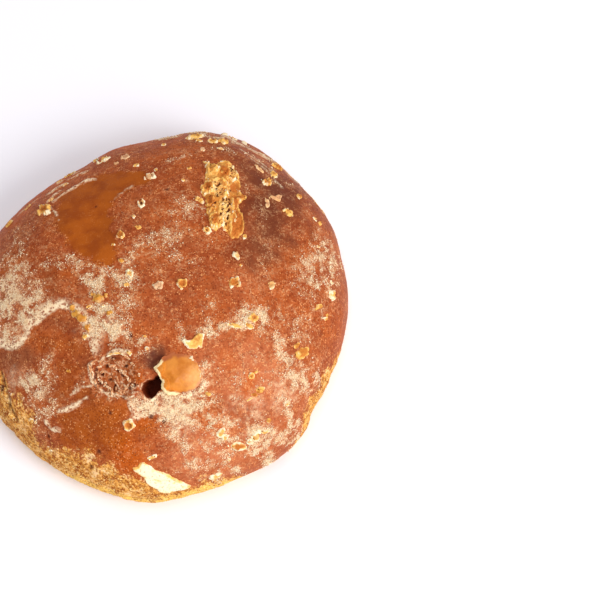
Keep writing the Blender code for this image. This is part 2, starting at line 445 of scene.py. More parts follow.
    # Cream sugar bloom, dusted on.
    bloom: tuple[Spot, ...] = (
        Spot(14.0, -47.6, 6.5, 1.8, 5.0, 1.2),
        Spot(22.5, -44.8, 4.0, 1.6, 40.0, 1.0),
        Spot(44.0, -40.0, 25.0, 16.0, 160.0, 0.30),
        Spot(12.0, 8.0, 28.0, 20.0, 30.0, 0.16),
        Spot(-48.0, -6.0, 20.0, 16.0, 90.0, 0.35),
        Spot(-40.0, -42.0, 16.0, 12.0, 120.0, 0.35),
        Spot(-49.0, -8.0, 17.0, 8.5, 80.0, 0.95),
        Spot(-45.0, -14.0, 9.0, 7.0, 30.0, 0.9),
        Spot(-47.0, 6.0, 9.0, 6.0, 60.0, 0.6),
        Spot(-37.0, -8.0, 7.0, 4.0, 120.0, 0.55),
        Spot(-50.0, 16.0, 14.0, 7.0, 70.0, 0.4),
        Spot(-26.0, 4.0, 11.0, 4.0, 170.0, 0.75),
        Spot(-19.0, -1.0, 6.0, 5.0, 0.0, 0.7),
        Spot(-16.0, -6.0, 7.0, 5.0, 120.0, 0.65),
        Spot(-7.0, -2.0, 8.0, 4.5, 10.0, 0.6),
        Spot(-4.0, -6.0, 4.0, 5.0, 100.0, 0.6),
        Spot(-4.0, 7.0, 6.0, 4.0, 40.0, 0.5),
        Spot(7.0, 13.0, 14.0, 6.0, 38.0, 0.42),
        Spot(14.0, 6.0, 9.0, 5.0, 150.0, 0.2),
        Spot(17.0, 27.0, 10.0, 8.0, 60.0, 0.4),
        Spot(-12.0, -24.0, 11.0, 6.5, 170.0, 0.95),
        Spot(-13.0, -17.0, 8.0, 5.0, 160.0, 0.75),
        Spot(-5.0, -13.0, 6.0, 3.5, 120.0, 0.5),
        Spot(1.0, -28.0, 7.0, 2.6, 10.0, 0.7),
        Spot(-47.0, -37.5, 9.0, 4.5, 165.0, 0.95),
        Spot(-38.0, -41.0, 8.0, 6.0, 110.0, 0.8),
        Spot(-36.0, -34.0, 6.0, 5.0, 60.0, 0.6),
        Spot(-36.0, -49.0, 7.0, 4.0, 30.0, 0.6),
        Spot(-26.0, -36.0, 5.0, 4.0, 0.0, 0.4),
        Spot(-21.0, -41.0, 4.0, 5.0, 0.0, 0.4),
        Spot(4.0, -50.5, 8.0, 3.5, 165.0, 1.1),
        Spot(12.0, -50.0, 10.0, 4.5, 175.0, 1.0),
        Spot(11.0, -53.5, 9.5, 7.0, 150.0, 1.6),
        Spot(19.0, -49.0, 12.0, 3.5, 8.0, 0.85),
        Spot(14.0, -61.0, 7.0, 3.0, 150.0, 0.7),
        Spot(22.0, -54.0, 9.0, 4.0, 0.0, 0.6),
        Spot(36.0, -54.0, 10.0, 3.5, 0.0, 0.7),
        Spot(43.0, -57.0, 7.0, 4.5, 20.0, 0.85),
        Spot(34.0, -60.5, 8.0, 2.5, 170.0, 0.75),
        Spot(53.0, -55.0, 7.0, 3.5, 40.0, 0.6),
        Spot(28.0, -71.0, 6.0, 2.0, 10.0, 0.7),
        Spot(42.0, -15.5, 10.0, 5.0, 10.0, 0.95),
        Spot(35.0, -20.5, 9.0, 2.0, 8.0, 1.0),
        Spot(26.0, -15.0, 5.0, 7.0, 20.0, 0.55),
        Spot(28.0, -23.0, 6.0, 3.5, 10.0, 0.75),
        Spot(15.5, -24.0, 2.0, 5.0, 10.0, 0.6),
        Spot(48.0, -21.0, 7.0, 4.0, 0.0, 0.55),
        Spot(54.0, -29.0, 11.0, 3.5, 125.0, 0.85),
        Spot(58.0, -36.0, 6.0, 4.0, 140.0, 0.9),
        Spot(64.0, -31.0, 9.0, 5.0, 120.0, 0.7),
        Spot(24.8, -38.5, 2.4, 7.0, 0.0, 0.6),
        Spot(24.0, -66.0, 15.0, 7.0, 15.0, 0.55),
        Spot(60.0, -18.0, 9.0, 7.0, 90.0, 0.45),
        Spot(50.0, 50.0, 17.0, 6.0, 135.0, 0.45),
        Spot(57.0, -50.0, 8.0, 3.0, 122.0, 0.9),
        Spot(44.5, -61.0, 9.0, 3.0, 152.0, 1.0),
        Spot(35.0, -67.5, 6.0, 2.0, 160.0, 0.7),
        Spot(38.0, 36.0, 6.0, 4.0, 120.0, 0.4),
        Spot(45.0, 28.0, 3.0, 9.0, 10.0, 0.5),
        Spot(48.0, 8.0, 4.0, 12.0, 170.0, 0.4),
        Spot(10.0, 54.0, 10.0, 4.0, 20.0, 0.35),
        Spot(27.0, 60.0, 9.0, 4.0, 150.0, 0.5),
        Spot(0.6, -34.0, 3.0, 3.4, 0.0, 0.6),
        Spot(5.0, -31.5, 4.0, 2.4, 30.0, 0.5),
        Spot(70.0, 14.0, 7.0, 14.0, 0.0, 0.7),
        Spot(62.0, 2.0, 8.0, 12.0, 20.0, 0.6),
        Spot(-66.0, 2.0, 6.0, 14.0, 0.0, 0.6),
    )
    # Thin cream film that lies closed, with fine pores.
    films: tuple[Spot, ...] = (
        Spot(9.0, -50.5, 9.0, 3.6, 168.0, 1.0),
        Spot(13.5, -54.5, 7.6, 5.4, 140.0, 1.0),
        Spot(40.5, -51.0, 10.0, 5.5, 22.0, 0.42),
        Spot(53.0, -42.0, 7.0, 4.5, 55.0, 0.36),
        Spot(-49.0, -9.0, 13.0, 6.0, 80.0, 0.4),
        Spot(-47.0, -37.5, 7.0, 3.5, 165.0, 0.5),
        Spot(-13.0, -23.0, 8.0, 4.0, 170.0, 0.5),
        Spot(43.0, -57.0, 5.0, 2.6, 10.0, 0.6),
    )
    # Edge of the thin cream film on the left; the film lies on the line's left side.
    film_edge: Trail = Trail(
        (
            (-72.0, -21.0), (-62.0, -22.5), (-56.0, -24.3), (-50.0, -27.0), (-46.5, -26.3),
            (-43.5, -23.5), (-41.5, -19.8), (-38.0, -18.6), (-36.0, -16.3), (-31.0, -14.0),
            (-27.0, -15.3), (-23.5, -18.5), (-20.5, -22.0), (-19.2, -26.0), (-18.0, -29.5),
        ),
        3.6,
    )
    # Raised lines of set froth.
    ridges: tuple[Trail, ...] = (
        Trail(((-31.0, -50.6), (-27.0, -50.2), (-23.5, -49.0), (-19.5, -47.0)), 0.9, 1.0),
        Trail(((-25.5, -45.6), (-23.2, -44.2), (-20.5, -43.3), (-17.5, -43.2)), 0.6, 0.8),
        Trail(((-36.5, -52.5), (-34.2, -55.3), (-30.8, -56.4)), 0.6, 0.9),
        Trail(((-17.2, -34.8), (-18.2, -37.6), (-17.2, -40.9), (-15.4, -43.5), (-13.2, -45.3)), 0.8, 0.8),
        Trail(((-13.2, -45.3), (-10.6, -46.7), (-7.4, -46.9), (-4.6, -47.6), (-1.4, -47.3)), 0.7, 0.9),
        Trail(((-9.0, -42.0), (-7.5, -44.5), (-5.0, -45.9), (-2.0, -46.2), (0.6, -45.6)), 0.5, 0.8),
        Trail(((-6.5, -42.5), (-4.6, -44.4), (-1.8, -44.9), (0.4, -43.8)), 0.5, 0.7),
        Trail(((-14.4, -35.2), (-12.6, -33.6), (-10.4, -32.8)), 0.5, 0.6),
        Trail(((-11.0, -32.6), (-7.5, -31.4), (-3.5, -31.8)), 1.2, 1.0),
        Trail(((-3.4, -49.5), (-2.0, -52.6), (-2.4, -56.0)), 0.7, 0.8),
        Trail(((-37.5, 34.5), (-35.5, 36.5), (-32.2, 39.8), (-28.6, 42.3), (-24.7, 45.0), (-22.0, 44.9)), 0.8, 1.0),
        Trail(((-38.4, 31.5), (-35.8, 28.2), (-33.6, 23.5)), 0.6, 0.8),
        Trail(((-39.8, 35.0), (-38.0, 38.5), (-36.0, 40.5)), 0.8, 0.8),
        Trail(((-41.0, 41.0), (-38.4, 43.2), (-34.6, 45.6)), 0.9, 0.9),
        Trail(((-33.6, 47.6), (-30.0, 49.4), (-26.0, 50.8)), 0.8, 0.8),
        Trail(((-38.0, 47.0), (-33.0, 50.6), (-28.0, 53.4)), 0.7, 0.5),
        Trail(((-12.6, 32.6), (-10.4, 34.6), (-8.0, 37.0), (-5.0, 39.0)), 0.6, 0.6),
        Trail(((9.2, -46.6), (11.5, -47.4), (14.8, -47.2), (18.4, -46.6), (21.8, -45.2), (24.6, -42.6)), 1.5, 1.0),
        Trail(((7.0, 51.6), (11.0, 52.4), (14.0, 54.0)), 0.8, 0.5),
        Trail(((40.5, -36.6), (46.0, -36.0), (52.0, -35.4)), 0.5, 0.2),
        Trail(((1.1, -45.0), (1.7, -43.0), (3.2, -41.7), (5.2, -41.2)), 0.45, 0.6),
        Trail(((28.0, 71.5), (34.4, 68.0), (40.4, 66.0), (46.6, 63.5), (52.4, 60.8), (58.5, 53.6)), 1.6, 0.75),
        Trail(((-53.6, 34.0), (-49.4, 38.0), (-46.6, 40.6)), 0.6, 0.4),
        Trail(((-35.0, 50.8), (-30.4, 53.2)), 0.5, 0.35),
        Trail(((36.0, 62.0), (43.0, 57.0), (50.0, 50.0)), 0.6, 0.5),
        Trail(((40.0, 57.0), (47.0, 51.0), (52.5, 44.5)), 0.5, 0.5),
    )


class Skin:
    """Closed skin of the block, with its relief and the masks that its finish reads."""

    def __init__(self, casting: Casting, marks: SkinMarks) -> None:
        """Take the form and the marks.

        Args:
            casting: Plain cast form.
            marks: Places of the marks.
        """
        self.casting = casting
        self.marks = marks
        self.rough = Turbulence(11)
        self.patchy = Turbulence(23)
        self.offset = np.zeros(3)
        self.tree: BVHTree | None = None
        self.surface: bpy.types.Object | None = None
        self.shares: dict[str, np.ndarray] = {}

    def _ball(self) -> bmesh.types.BMesh:
        """Ball of even triangles, coarser on the foot and finer round the hole and the crater."""
        ball = bmesh.new()
        bmesh.ops.create_icosphere(ball, subdivisions=6, radius=1.0)
        foot_start = math.cos(self.casting.dome_share)
        dome = [edge for edge in ball.edges if max(vertex.co.z for vertex in edge.verts) > foot_start]
        bmesh.ops.subdivide_edges(ball, edges=dome, cuts=2, use_grid_fill=True)
        bmesh.ops.triangulate(ball, faces=ball.faces[:])
        points, _ = self.casting.lay(np.array([vertex.co for vertex in ball.verts]))
        marks = self.marks
        near = np.minimum(1.0 - (marks.hole.depth(points) + 2.0) / 2.0, marks.crater.span(points) / 1.25)
        close = {vertex for vertex, span in zip(ball.verts, near) if span < 1.0 and vertex.co.z > 0.0}
        edges = [edge for edge in ball.edges if close.issuperset(edge.verts)]
        bmesh.ops.subdivide_edges(ball, edges=edges, cuts=2)
        bmesh.ops.triangulate(ball, faces=ball.faces[:])
        return ball

    def masks(self, points: np.ndarray) -> dict[str, np.ndarray]:
        """Work out how much of each mark lies at each point of the plain form.

        Args:
            points: Points of the plain form in millimetres.

        Returns:
            For each mark's name, one share from 0 to 1 for each point.
        """
        marks = self.marks
        wide = self.patchy.wave(points, 16.0, 4)
        broken = self.rough.wave(points, 6.0, 4)
        crumbly = self.rough.wave(points + 40.0, 2.4, 3)
        veined = self.patchy.wave(points + 90.0, 4.0, 4)
        threads = ease((0.20 - np.abs(self.rough.wave(points + 70.0, 5.5, 3))) / 0.20)

        def gather(spots: tuple[Spot, ...], fray: float) -> np.ndarray:
            """Share of the surface that spots with frayed edges cover together."""
            bare = np.ones(len(points))
            for spot in spots:
                span = spot.span(points) + fray * (0.5 * wide + 0.7 * broken)
                bare *= 1.0 - np.minimum(spot.strength, 1.0) * ease(0.80 * (1.38 - span))
            return 1.0 - bare

        away, side = marks.film_edge.distance(points)
        inside = away * side + 0.45 * crumbly + 0.3 * broken
        film = ease(inside / 0.7 + 0.5) * (1.0 - ease((inside - 1.8 + 1.4 * broken) / 3.6))
        clear = ease(-(inside + 0.4) / 1.2) * ease(1.0 - (away - 9.0) / 5.0)
        ridge = np.zeros(len(points))
        for trail in marks.ridges:
            reach = trail.distance(points)[0] + 0.45 * crumbly + 0.3 * broken
            ridge = np.maximum(ridge, trail.strength * ease(1.4 * (1.0 - reach / trail.width)))
        crater = ease(2.0 * (1.08 - marks.crater.span(points) + 0.15 * broken))
        curled = 1.0 - np.abs(self.patchy.wave(points + 30.0, 2.6, 2))
        ridge = np.maximum(ridge, 0.40 * crater * ease((curled - 0.88) / 0.11))
        frayed = 0.8 * crumbly + 1.7 * broken
        amber = np.max([
            patch.strength * ease((patch.depth(points) + frayed) / (7.2 - 4.6 * patch.strength) + 0.5)
            for patch in marks.amber
        ], axis=0)
        plate = ease((marks.plate.depth(points) + 0.5 * crumbly) / 0.6 + 0.5)
        film = np.maximum(film, 0.85 * plate)
        film = np.maximum(film, gather(marks.films, 0.70) * np.clip(0.65 + 0.8 * veined, 0.2, 1.0))
        bloom = gather(marks.bloom, 0.60)
        bloom = np.maximum(bloom, self.far_side(points) * ease(0.9 * wide + 0.5 * broken + 0.15))
        bloom *= np.clip(0.52 + 0.60 * veined + 0.40 * threads, 0.06, 1.0)
        bloom *= (1.0 - 0.85 * clear) * (1.0 - 0.96 * amber)
        # The orange and dusky masks also carry painted light and shade: the glow along the upper-left and back rim, and
        # shadow right of the scab and in the dent.
        orange = gather(marks.orange, 0.45)
        dusky_and_shadow = gather(marks.dusky_and_shadow, 0.45)
        bloom *= 1.0 - 0.62 * dusky_and_shadow
        thin = 0.24 * ease(0.5 + 0.8 * broken + 0.4 * veined) * (1.0 - amber) * (1.0 - 0.7 * orange)
        bloom = np.clip(bloom + thin * (1.0 - bloom), 0.0, 1.0)
        bearing = np.degrees(np.arctan2(points[:, 1], points[:, 0]))
        front_left = ease(1.25 - np.abs((bearing + 305.0) % 360.0 - 180.0) / 70.0)
        right = ease(1.2 - np.abs((bearing + 208.0) % 360.0 - 180.0) / 22.0)
        rear_right = ease(1.2 - np.abs((bearing + 138.0) % 360.0 - 180.0) / 30.0)
        lower_left = ease(1.2 - np.abs((bearing + 298.0) % 360.0 - 180.0) / 14.0)
        front = ease(1.3 - np.abs((bearing + 262.0) % 360.0 - 180.0) / 42.0)
        front_right = ease(1.3 - np.abs((bearing + 234.0) % 360.0 - 180.0) / 12.0)
        rim_top = 5.0 + 22.0 * front_left + 12.0 * right + 12.0 * rear_right + 4.0 * wide + 2.0 * broken
        rim_top -= 7.0 * front_right
        rim_top -= 6.0 * lower_left
        crust = ease((rim_top - points[:, 2]) / 12.0 + 0.5)
        lip = crust * ease((6.0 + 9.0 * front - 5.0 * front_right + 2.0 * front_left + 4.0 * wide + 2.0 * broken - points[:, 2]) / 6.0)
        # Painted shade: the dark mask darkens the dent, the pits, the hollows between the crater's curls, the gaps
        # under them and the crease, where shade falls.
        pits = np.max([spot.cover(points, 2.5) for spot in marks.pits], axis=0)
        speckled = np.clip(0.70 + 0.7 * crumbly + 0.3 * veined, 0.25, 0.95)
        dark = np.maximum(speckled * marks.shaded_dent.cover(points, 1.8) / marks.shaded_dent.strength, pits)
        ring = crater * ease(1.3 - np.abs(marks.crater.span(points) - 0.85) / 0.35)
        dark = np.maximum(dark, (0.30 * crater + 0.4 * ring) * ease((0.72 - curled) / 0.25))
        deep = points + 0.25 * crumbly[:, None]
        dark = np.maximum(dark, 0.85 * np.max([spot.cover(deep, 2.5) for spot in marks.gaps], axis=0))
        dark = np.maximum(dark, marks.crease.cover(points + 0.3 * crumbly[:, None]))
        return {
            "bloom": bloom * (1.0 - 0.6 * crust),
            "film": np.clip(np.maximum(film, ridge), 0.0, 1.0),
            "crust": crust,
            "amber": amber,
            "orange": orange,
            "mauve_and_shadow": gather(marks.mauve_and_shadow, 0.45),
            "rosy_sheen": gather(marks.rosy_sheen, 0.45),
            "ridge": ridge,
            "dusky_and_shadow": dusky_and_shadow,
            "lip": lip,
            "crater": crater,
            "shaded_dent": dark,
        }

    def far_side(self, points: np.ndarray) -> np.ndarray:
        """Share of the back slope, where bloom lies in loose patches with no set places."""
        back = points[:, 1] - 0.35 * points[:, 2]
        return ease((back - 48.0) / 12.0) * 0.8

    def relief(self, points: np.ndarray, masks: dict[str, np.ndarray]) -> np.ndarray:
        """Height of the skin above the plain form.

        Args:
            points: Points of the plain form in millimetres.
            masks: Share of each mark at each point.

        Returns:
            One height in millimetres for each point; inward is negative.
        """
        marks = self.marks
        height = self.casting.swell(points)
        height -= marks.smooth_hollow.cover(points)
        crater = marks.crater.span(points)
        wrinkle = 1.0 - np.abs(self.rough.wave(points, 4.2, 3))
        fraying = self.rough.wave(points, 5.0, 3)
        height -= marks.crater.strength * ease(1.6 * (1.0 - crater + 0.12 * fraying))
        height += 0.9 * masks["crater"] * (wrinkle - 0.75)
        height += 0.5 * ease(1.0 - np.abs(crater + 0.15 * fraying - 1.08) / 0.3) * (0.5 + 0.6 * wrinkle)
        height -= marks.shaded_dent.cover(points)
        height -= 0.8 * np.max([spot.cover(points, 2.0) for spot in marks.pits], axis=0)
        height -= 0.7 * marks.crease.cover(points)
        height -= 0.9 * np.max([spot.cover(points, 2.0) for spot in marks.gaps], axis=0)
        height += marks.blister.cover(points)
        height += marks.scab.cover(points, 2.2)
        height -= marks.rim_bite.cover(points)
        smooth = np.clip(masks["amber"] + 0.6 * masks["mauve_and_shadow"], 0.0, 1.0)
        height += (0.16 - 0.10 * smooth) * self.patchy.wave(points, 7.0, 3)
        height += (0.055 - 0.035 * smooth) * self.rough.wave(points, 1.8, 2)
        height += 0.16 * masks["film"] + 0.30 * masks["ridge"]
        height += 0.13 * masks["bloom"] * np.abs(self.patchy.wave(points, 1.3, 2))
        crust = masks["crust"]
        height += crust * (0.50 * self.rough.wave(points, 4.5, 3) + 0.14 * self.patchy.wave(points, 1.5, 2))
        pores = ease(1.0 - self.rough.cells(points, 3.1) / 0.34)
        height -= 0.6 * crust * pores
        pits = ease(1.0 - self.patchy.cells(points, 6.5) / 0.13)
        height -= 0.55 * pits * (1.0 - smooth)
        return height

    def build(self) -> bpy.types.Object:
        """Make the skin.

        Returns:
            The finished skin, in metres.
        """
        ball = self._ball()
        directions = np.array([vertex.co for vertex in ball.verts])
        plain, normals = self.casting.lay(directions)
        masks = self.masks(plain)
        height = self.relief(plain, masks)
        fade = ease(plain[:, 2] / self.casting.rim_height)[:, None]
        shaped = self.casting.press_flats(plain)
        points = plain + fade * (shaped - plain) + fade * normals * height[:, None]
        points += self._sink_hole(plain, normals)
        points += self._roughen_foot(plain)
        points[:, 2] = np.maximum(points[:, 2], 0.0)
        swollen = plain + fade * (shaped + normals * self.casting.swell(plain)[:, None] - plain)
        low, high = swollen.min(axis=0), swollen.max(axis=0)
        self.offset = np.array(((low[0] + high[0]) / 2.0, (low[1] + high[1]) / 2.0, 0.0))
        for vertex, place in zip(ball.verts, (points - self.offset) * MM):
            vertex.co = place
        mesh = bpy.data.meshes.new("jaggery_skin")
        ball.to_mesh(mesh)
        ball.free()
        mesh.shade_smooth()
        masks["hole"] = self._hole_share(plain, 0.35, 0.2)
        masks["near_hole"] = self._hole_share(plain, 1.5, 0.5)
        groups = {
            "marks": ("bloom", "film", "crust", "hole"),
            "tones": ("amber", "orange", "mauve_and_shadow", "rosy_sheen"),
            "edges": ("lip", "dusky_and_shadow", "crater", "shaded_dent"),
        }
        for name, members in groups.items():
            layer = mesh.attributes.new(name, "FLOAT_COLOR", "POINT")
            layer.data.foreach_set("color", np.stack([masks[key] for key in members], axis=1).ravel())
        self._unwrap(mesh, directions)
        self.surface = bpy.data.objects.new("jaggery_skin", mesh)
        bpy.context.scene.collection.objects.link(self.surface)
        self.tree = BVHTree.FromObject(self.surface, bpy.context.evaluated_depsgraph_get())
        self.shares = masks
        self.height_above = points[:, 2]
        return self.surface

    def _hole_share(self, plain: np.ndarray, grow: float, soft: float) -> np.ndarray:
        """Share of each point that is in the burst hole, grown by and softened over some millimetres."""
        ragged = 0.15 * self.rough.wave(plain, 1.6, 3)
        return ease((self.marks.hole.depth(plain) + grow + ragged) / soft + 0.5) * (plain[:, 2] > 20.0)

    def _sink_hole(self, plain: np.ndarray, normals: np.ndarray) -> np.ndarray:
        """Moves that sink the burst hole and run its hollow in under the blister."""
        under = np.array((0.09, 0.0, 0.0))
        return self._hole_share(plain, 0.0, 0.5)[:, None] * self.marks.hole_depth * (under - normals)

    def _roughen_foot(self, plain: np.ndarray) -> np.ndarray:
        """Moves that pit the flat foot upwards, where air was caught against the board."""
        foot = ease((2.0 - plain[:, 2]) / 2.0)
        inner = ease((70.0 - np.hypot(plain[:, 0], plain[:, 1])) / 6.0)
        lift = 0.35 * ease(self.patchy.wave(plain, 9.0, 3)) + 0.8 * ease(1.0 - self.rough.cells(plain, 4.0) / 0.34)
        return np.outer(foot * inner * lift, (0.0, 0.0, 1.0))

    def _unwrap(self, mesh: bpy.types.Mesh, directions: np.ndarray) -> None:
        """Lay out the skin's own map: the dome as a large disc, the foot as a small one."""
        unit = directions / np.linalg.norm(directions, axis=1, keepdims=True)
        polar = np.arccos(np.clip(unit[:, 2], -1.0, 1.0))
        bearing = np.arctan2(unit[:, 1], unit[:, 0])
        seam = self.casting.dome_share + 0.3
        corners = np.empty(len(mesh.loops), dtype=np.int32)
        mesh.loops.foreach_get("vertex_index", corners)
        tops = np.empty(len(mesh.polygons) * 3, dtype=np.int32)
        mesh.polygons.foreach_get("vertices", tops)
        highest = polar[tops.reshape(-1, 3)].max(axis=1)
        on_dome = np.repeat(highest <= seam, 3)
        dome_reach = 0.415 * polar[corners] / seam
        foot_reach = 0.16 * (math.pi - polar[corners]) / (math.pi - seam + 0.05)
        reach = np.where(on_dome, dome_reach, foot_reach)
        centre = np.where(on_dome, 0.42, 0.835)
        layer = mesh.uv_layers.new(name="OFBake")
        east = centre + reach * np.cos(bearing[corners])
        north = centre + reach * np.sin(bearing[corners]) * np.where(on_dome, 1.0, -1.0)
        layer.data.foreach_set("uv", np.stack((east, north), axis=1).astype(np.float32).ravel())


@dataclass(frozen=True)
class Seat:
    """Flat frame that stands on the skin, in millimetres."""

    origin: np.ndarray
    along: np.ndarray
    across: np.ndarray
    up: np.ndarray

    def stand(self, flat: np.ndarray, lift: object = 0.0) -> np.ndarray:
        """Points in the casting's frame of places in the flat frame, lifted off it."""
        lift = np.broadcast_to(lift, len(flat))[:, None]
        return self.origin + flat[:, :1] * self.along + flat[:, 1:] * self.across + lift * self.up


class Bed:
    """Finished skin as the bed that the other pieces lie on; places are in the casting's frame."""

    high_above: float = 12.0
    bend_radius: float = 85.0

    def __init__(self, skin: Skin) -> None:
        """Take the finished skin."""
        self.tree = skin.tree
        self.offset = skin.offset

    def meet(self, start: np.ndarray, heading: np.ndarray) -> np.ndarray | None:
        """Point where a straight line first meets the skin, or None."""
        hit = self.tree.ray_cast(Vector((start - self.offset) * MM), Vector(heading))[0]
        return None if hit is None else np.array(hit) / MM + self.offset

    def find(self, x: float, y: float) -> np.ndarray:
        """Point of the skin at a place seen from above, moved inwards until there is skin under it."""
        start = np.array((x, y, 90.0))
        hit = self.meet(start, (0.0, 0.0, -1.0))
        while hit is None:
            start[:2] *= 0.995
            hit = self.meet(start, (0.0, 0.0, -1.0))
        return hit

    def seat(self, x: float, y: float, turn: float = 0.0, reach: float = 4.0) -> Seat:
        """Set up a frame on the skin.

        Args:
            x: Place to the right, seen from above.
            y: Place to the back, seen from above.
            turn: Direction of the frame's length in degrees, seen from above.
            reach: Radius in millimetres over which the skin's slope is averaged.

        Returns:
            The frame.
        """
        origin = self.find(x, y)
        near = self.tree.find_nearest_range(Vector((origin - self.offset) * MM), reach * MM)
        up = np.mean([normal for _, normal, _, _ in near], axis=0)
        up /= np.linalg.norm(up)
        along = np.array((math.cos(math.radians(turn)), math.sin(math.radians(turn)), 0.0))
        along -= up * (along @ up)
        along /= np.linalg.norm(along)
        return Seat(origin, along, np.cross(up, along), up)

    def place(self, seat: Seat, corner: tuple[float, float]) -> np.ndarray:
        """Place in a frame of a corner seen from above, on the block's plain curve."""
        away = np.array((*corner, seat.origin[2])) - seat.origin
        flat = np.zeros(2)
        for _ in range(4):
            drop = -(flat @ flat) / (2.0 * self.bend_radius)
            away[2] = (drop - away[:2] @ seat.up[:2]) / seat.up[2]
            flat = np.array((away @ seat.along, away @ seat.across))
        return flat

    def drape(self, seat: Seat, flat: np.ndarray, lift: np.ndarray, sag: float = 1.3) -> np.ndarray:
        """Lay flat places over the skin.

        Args:
            seat: Frame that the places are in.
            flat: Places in the frame, one row each.
            lift: Height above the skin of each place in millimetres.
            sag: Depth in millimetres by which they sink at most below the block's plain curve.

        Returns:
            Points in the casting's frame.
        """
        starts = seat.stand(flat, self.high_above)
        lowest = -(flat ** 2).sum(axis=1) / (2.0 * self.bend_radius) - sag
        levels = lowest.copy()
        for index, start in enumerate(starts):
            hit = self.meet(start, -seat.up)
            if hit is not None:
                levels[index] = max((hit - seat.origin) @ seat.up, lowest[index])
        return seat.stand(flat, levels + lift)


@dataclass(frozen=True)
class Lump:
    """Lump, flake or burst bubble on the skin, seen from above, in millimetres and degrees."""

    x: float
    y: float
    half_length: float
    half_width: float
    height: float
    turn: float = 0.0
    tone: float = 0.6
    ragged: float = 0.3
    hollow: float = 0.0
    core: float = 0.0
    shaded_pit: float = 0.0
    lift: float = 0.0
    curl: float = 0.0
    dusty: float = 0.0


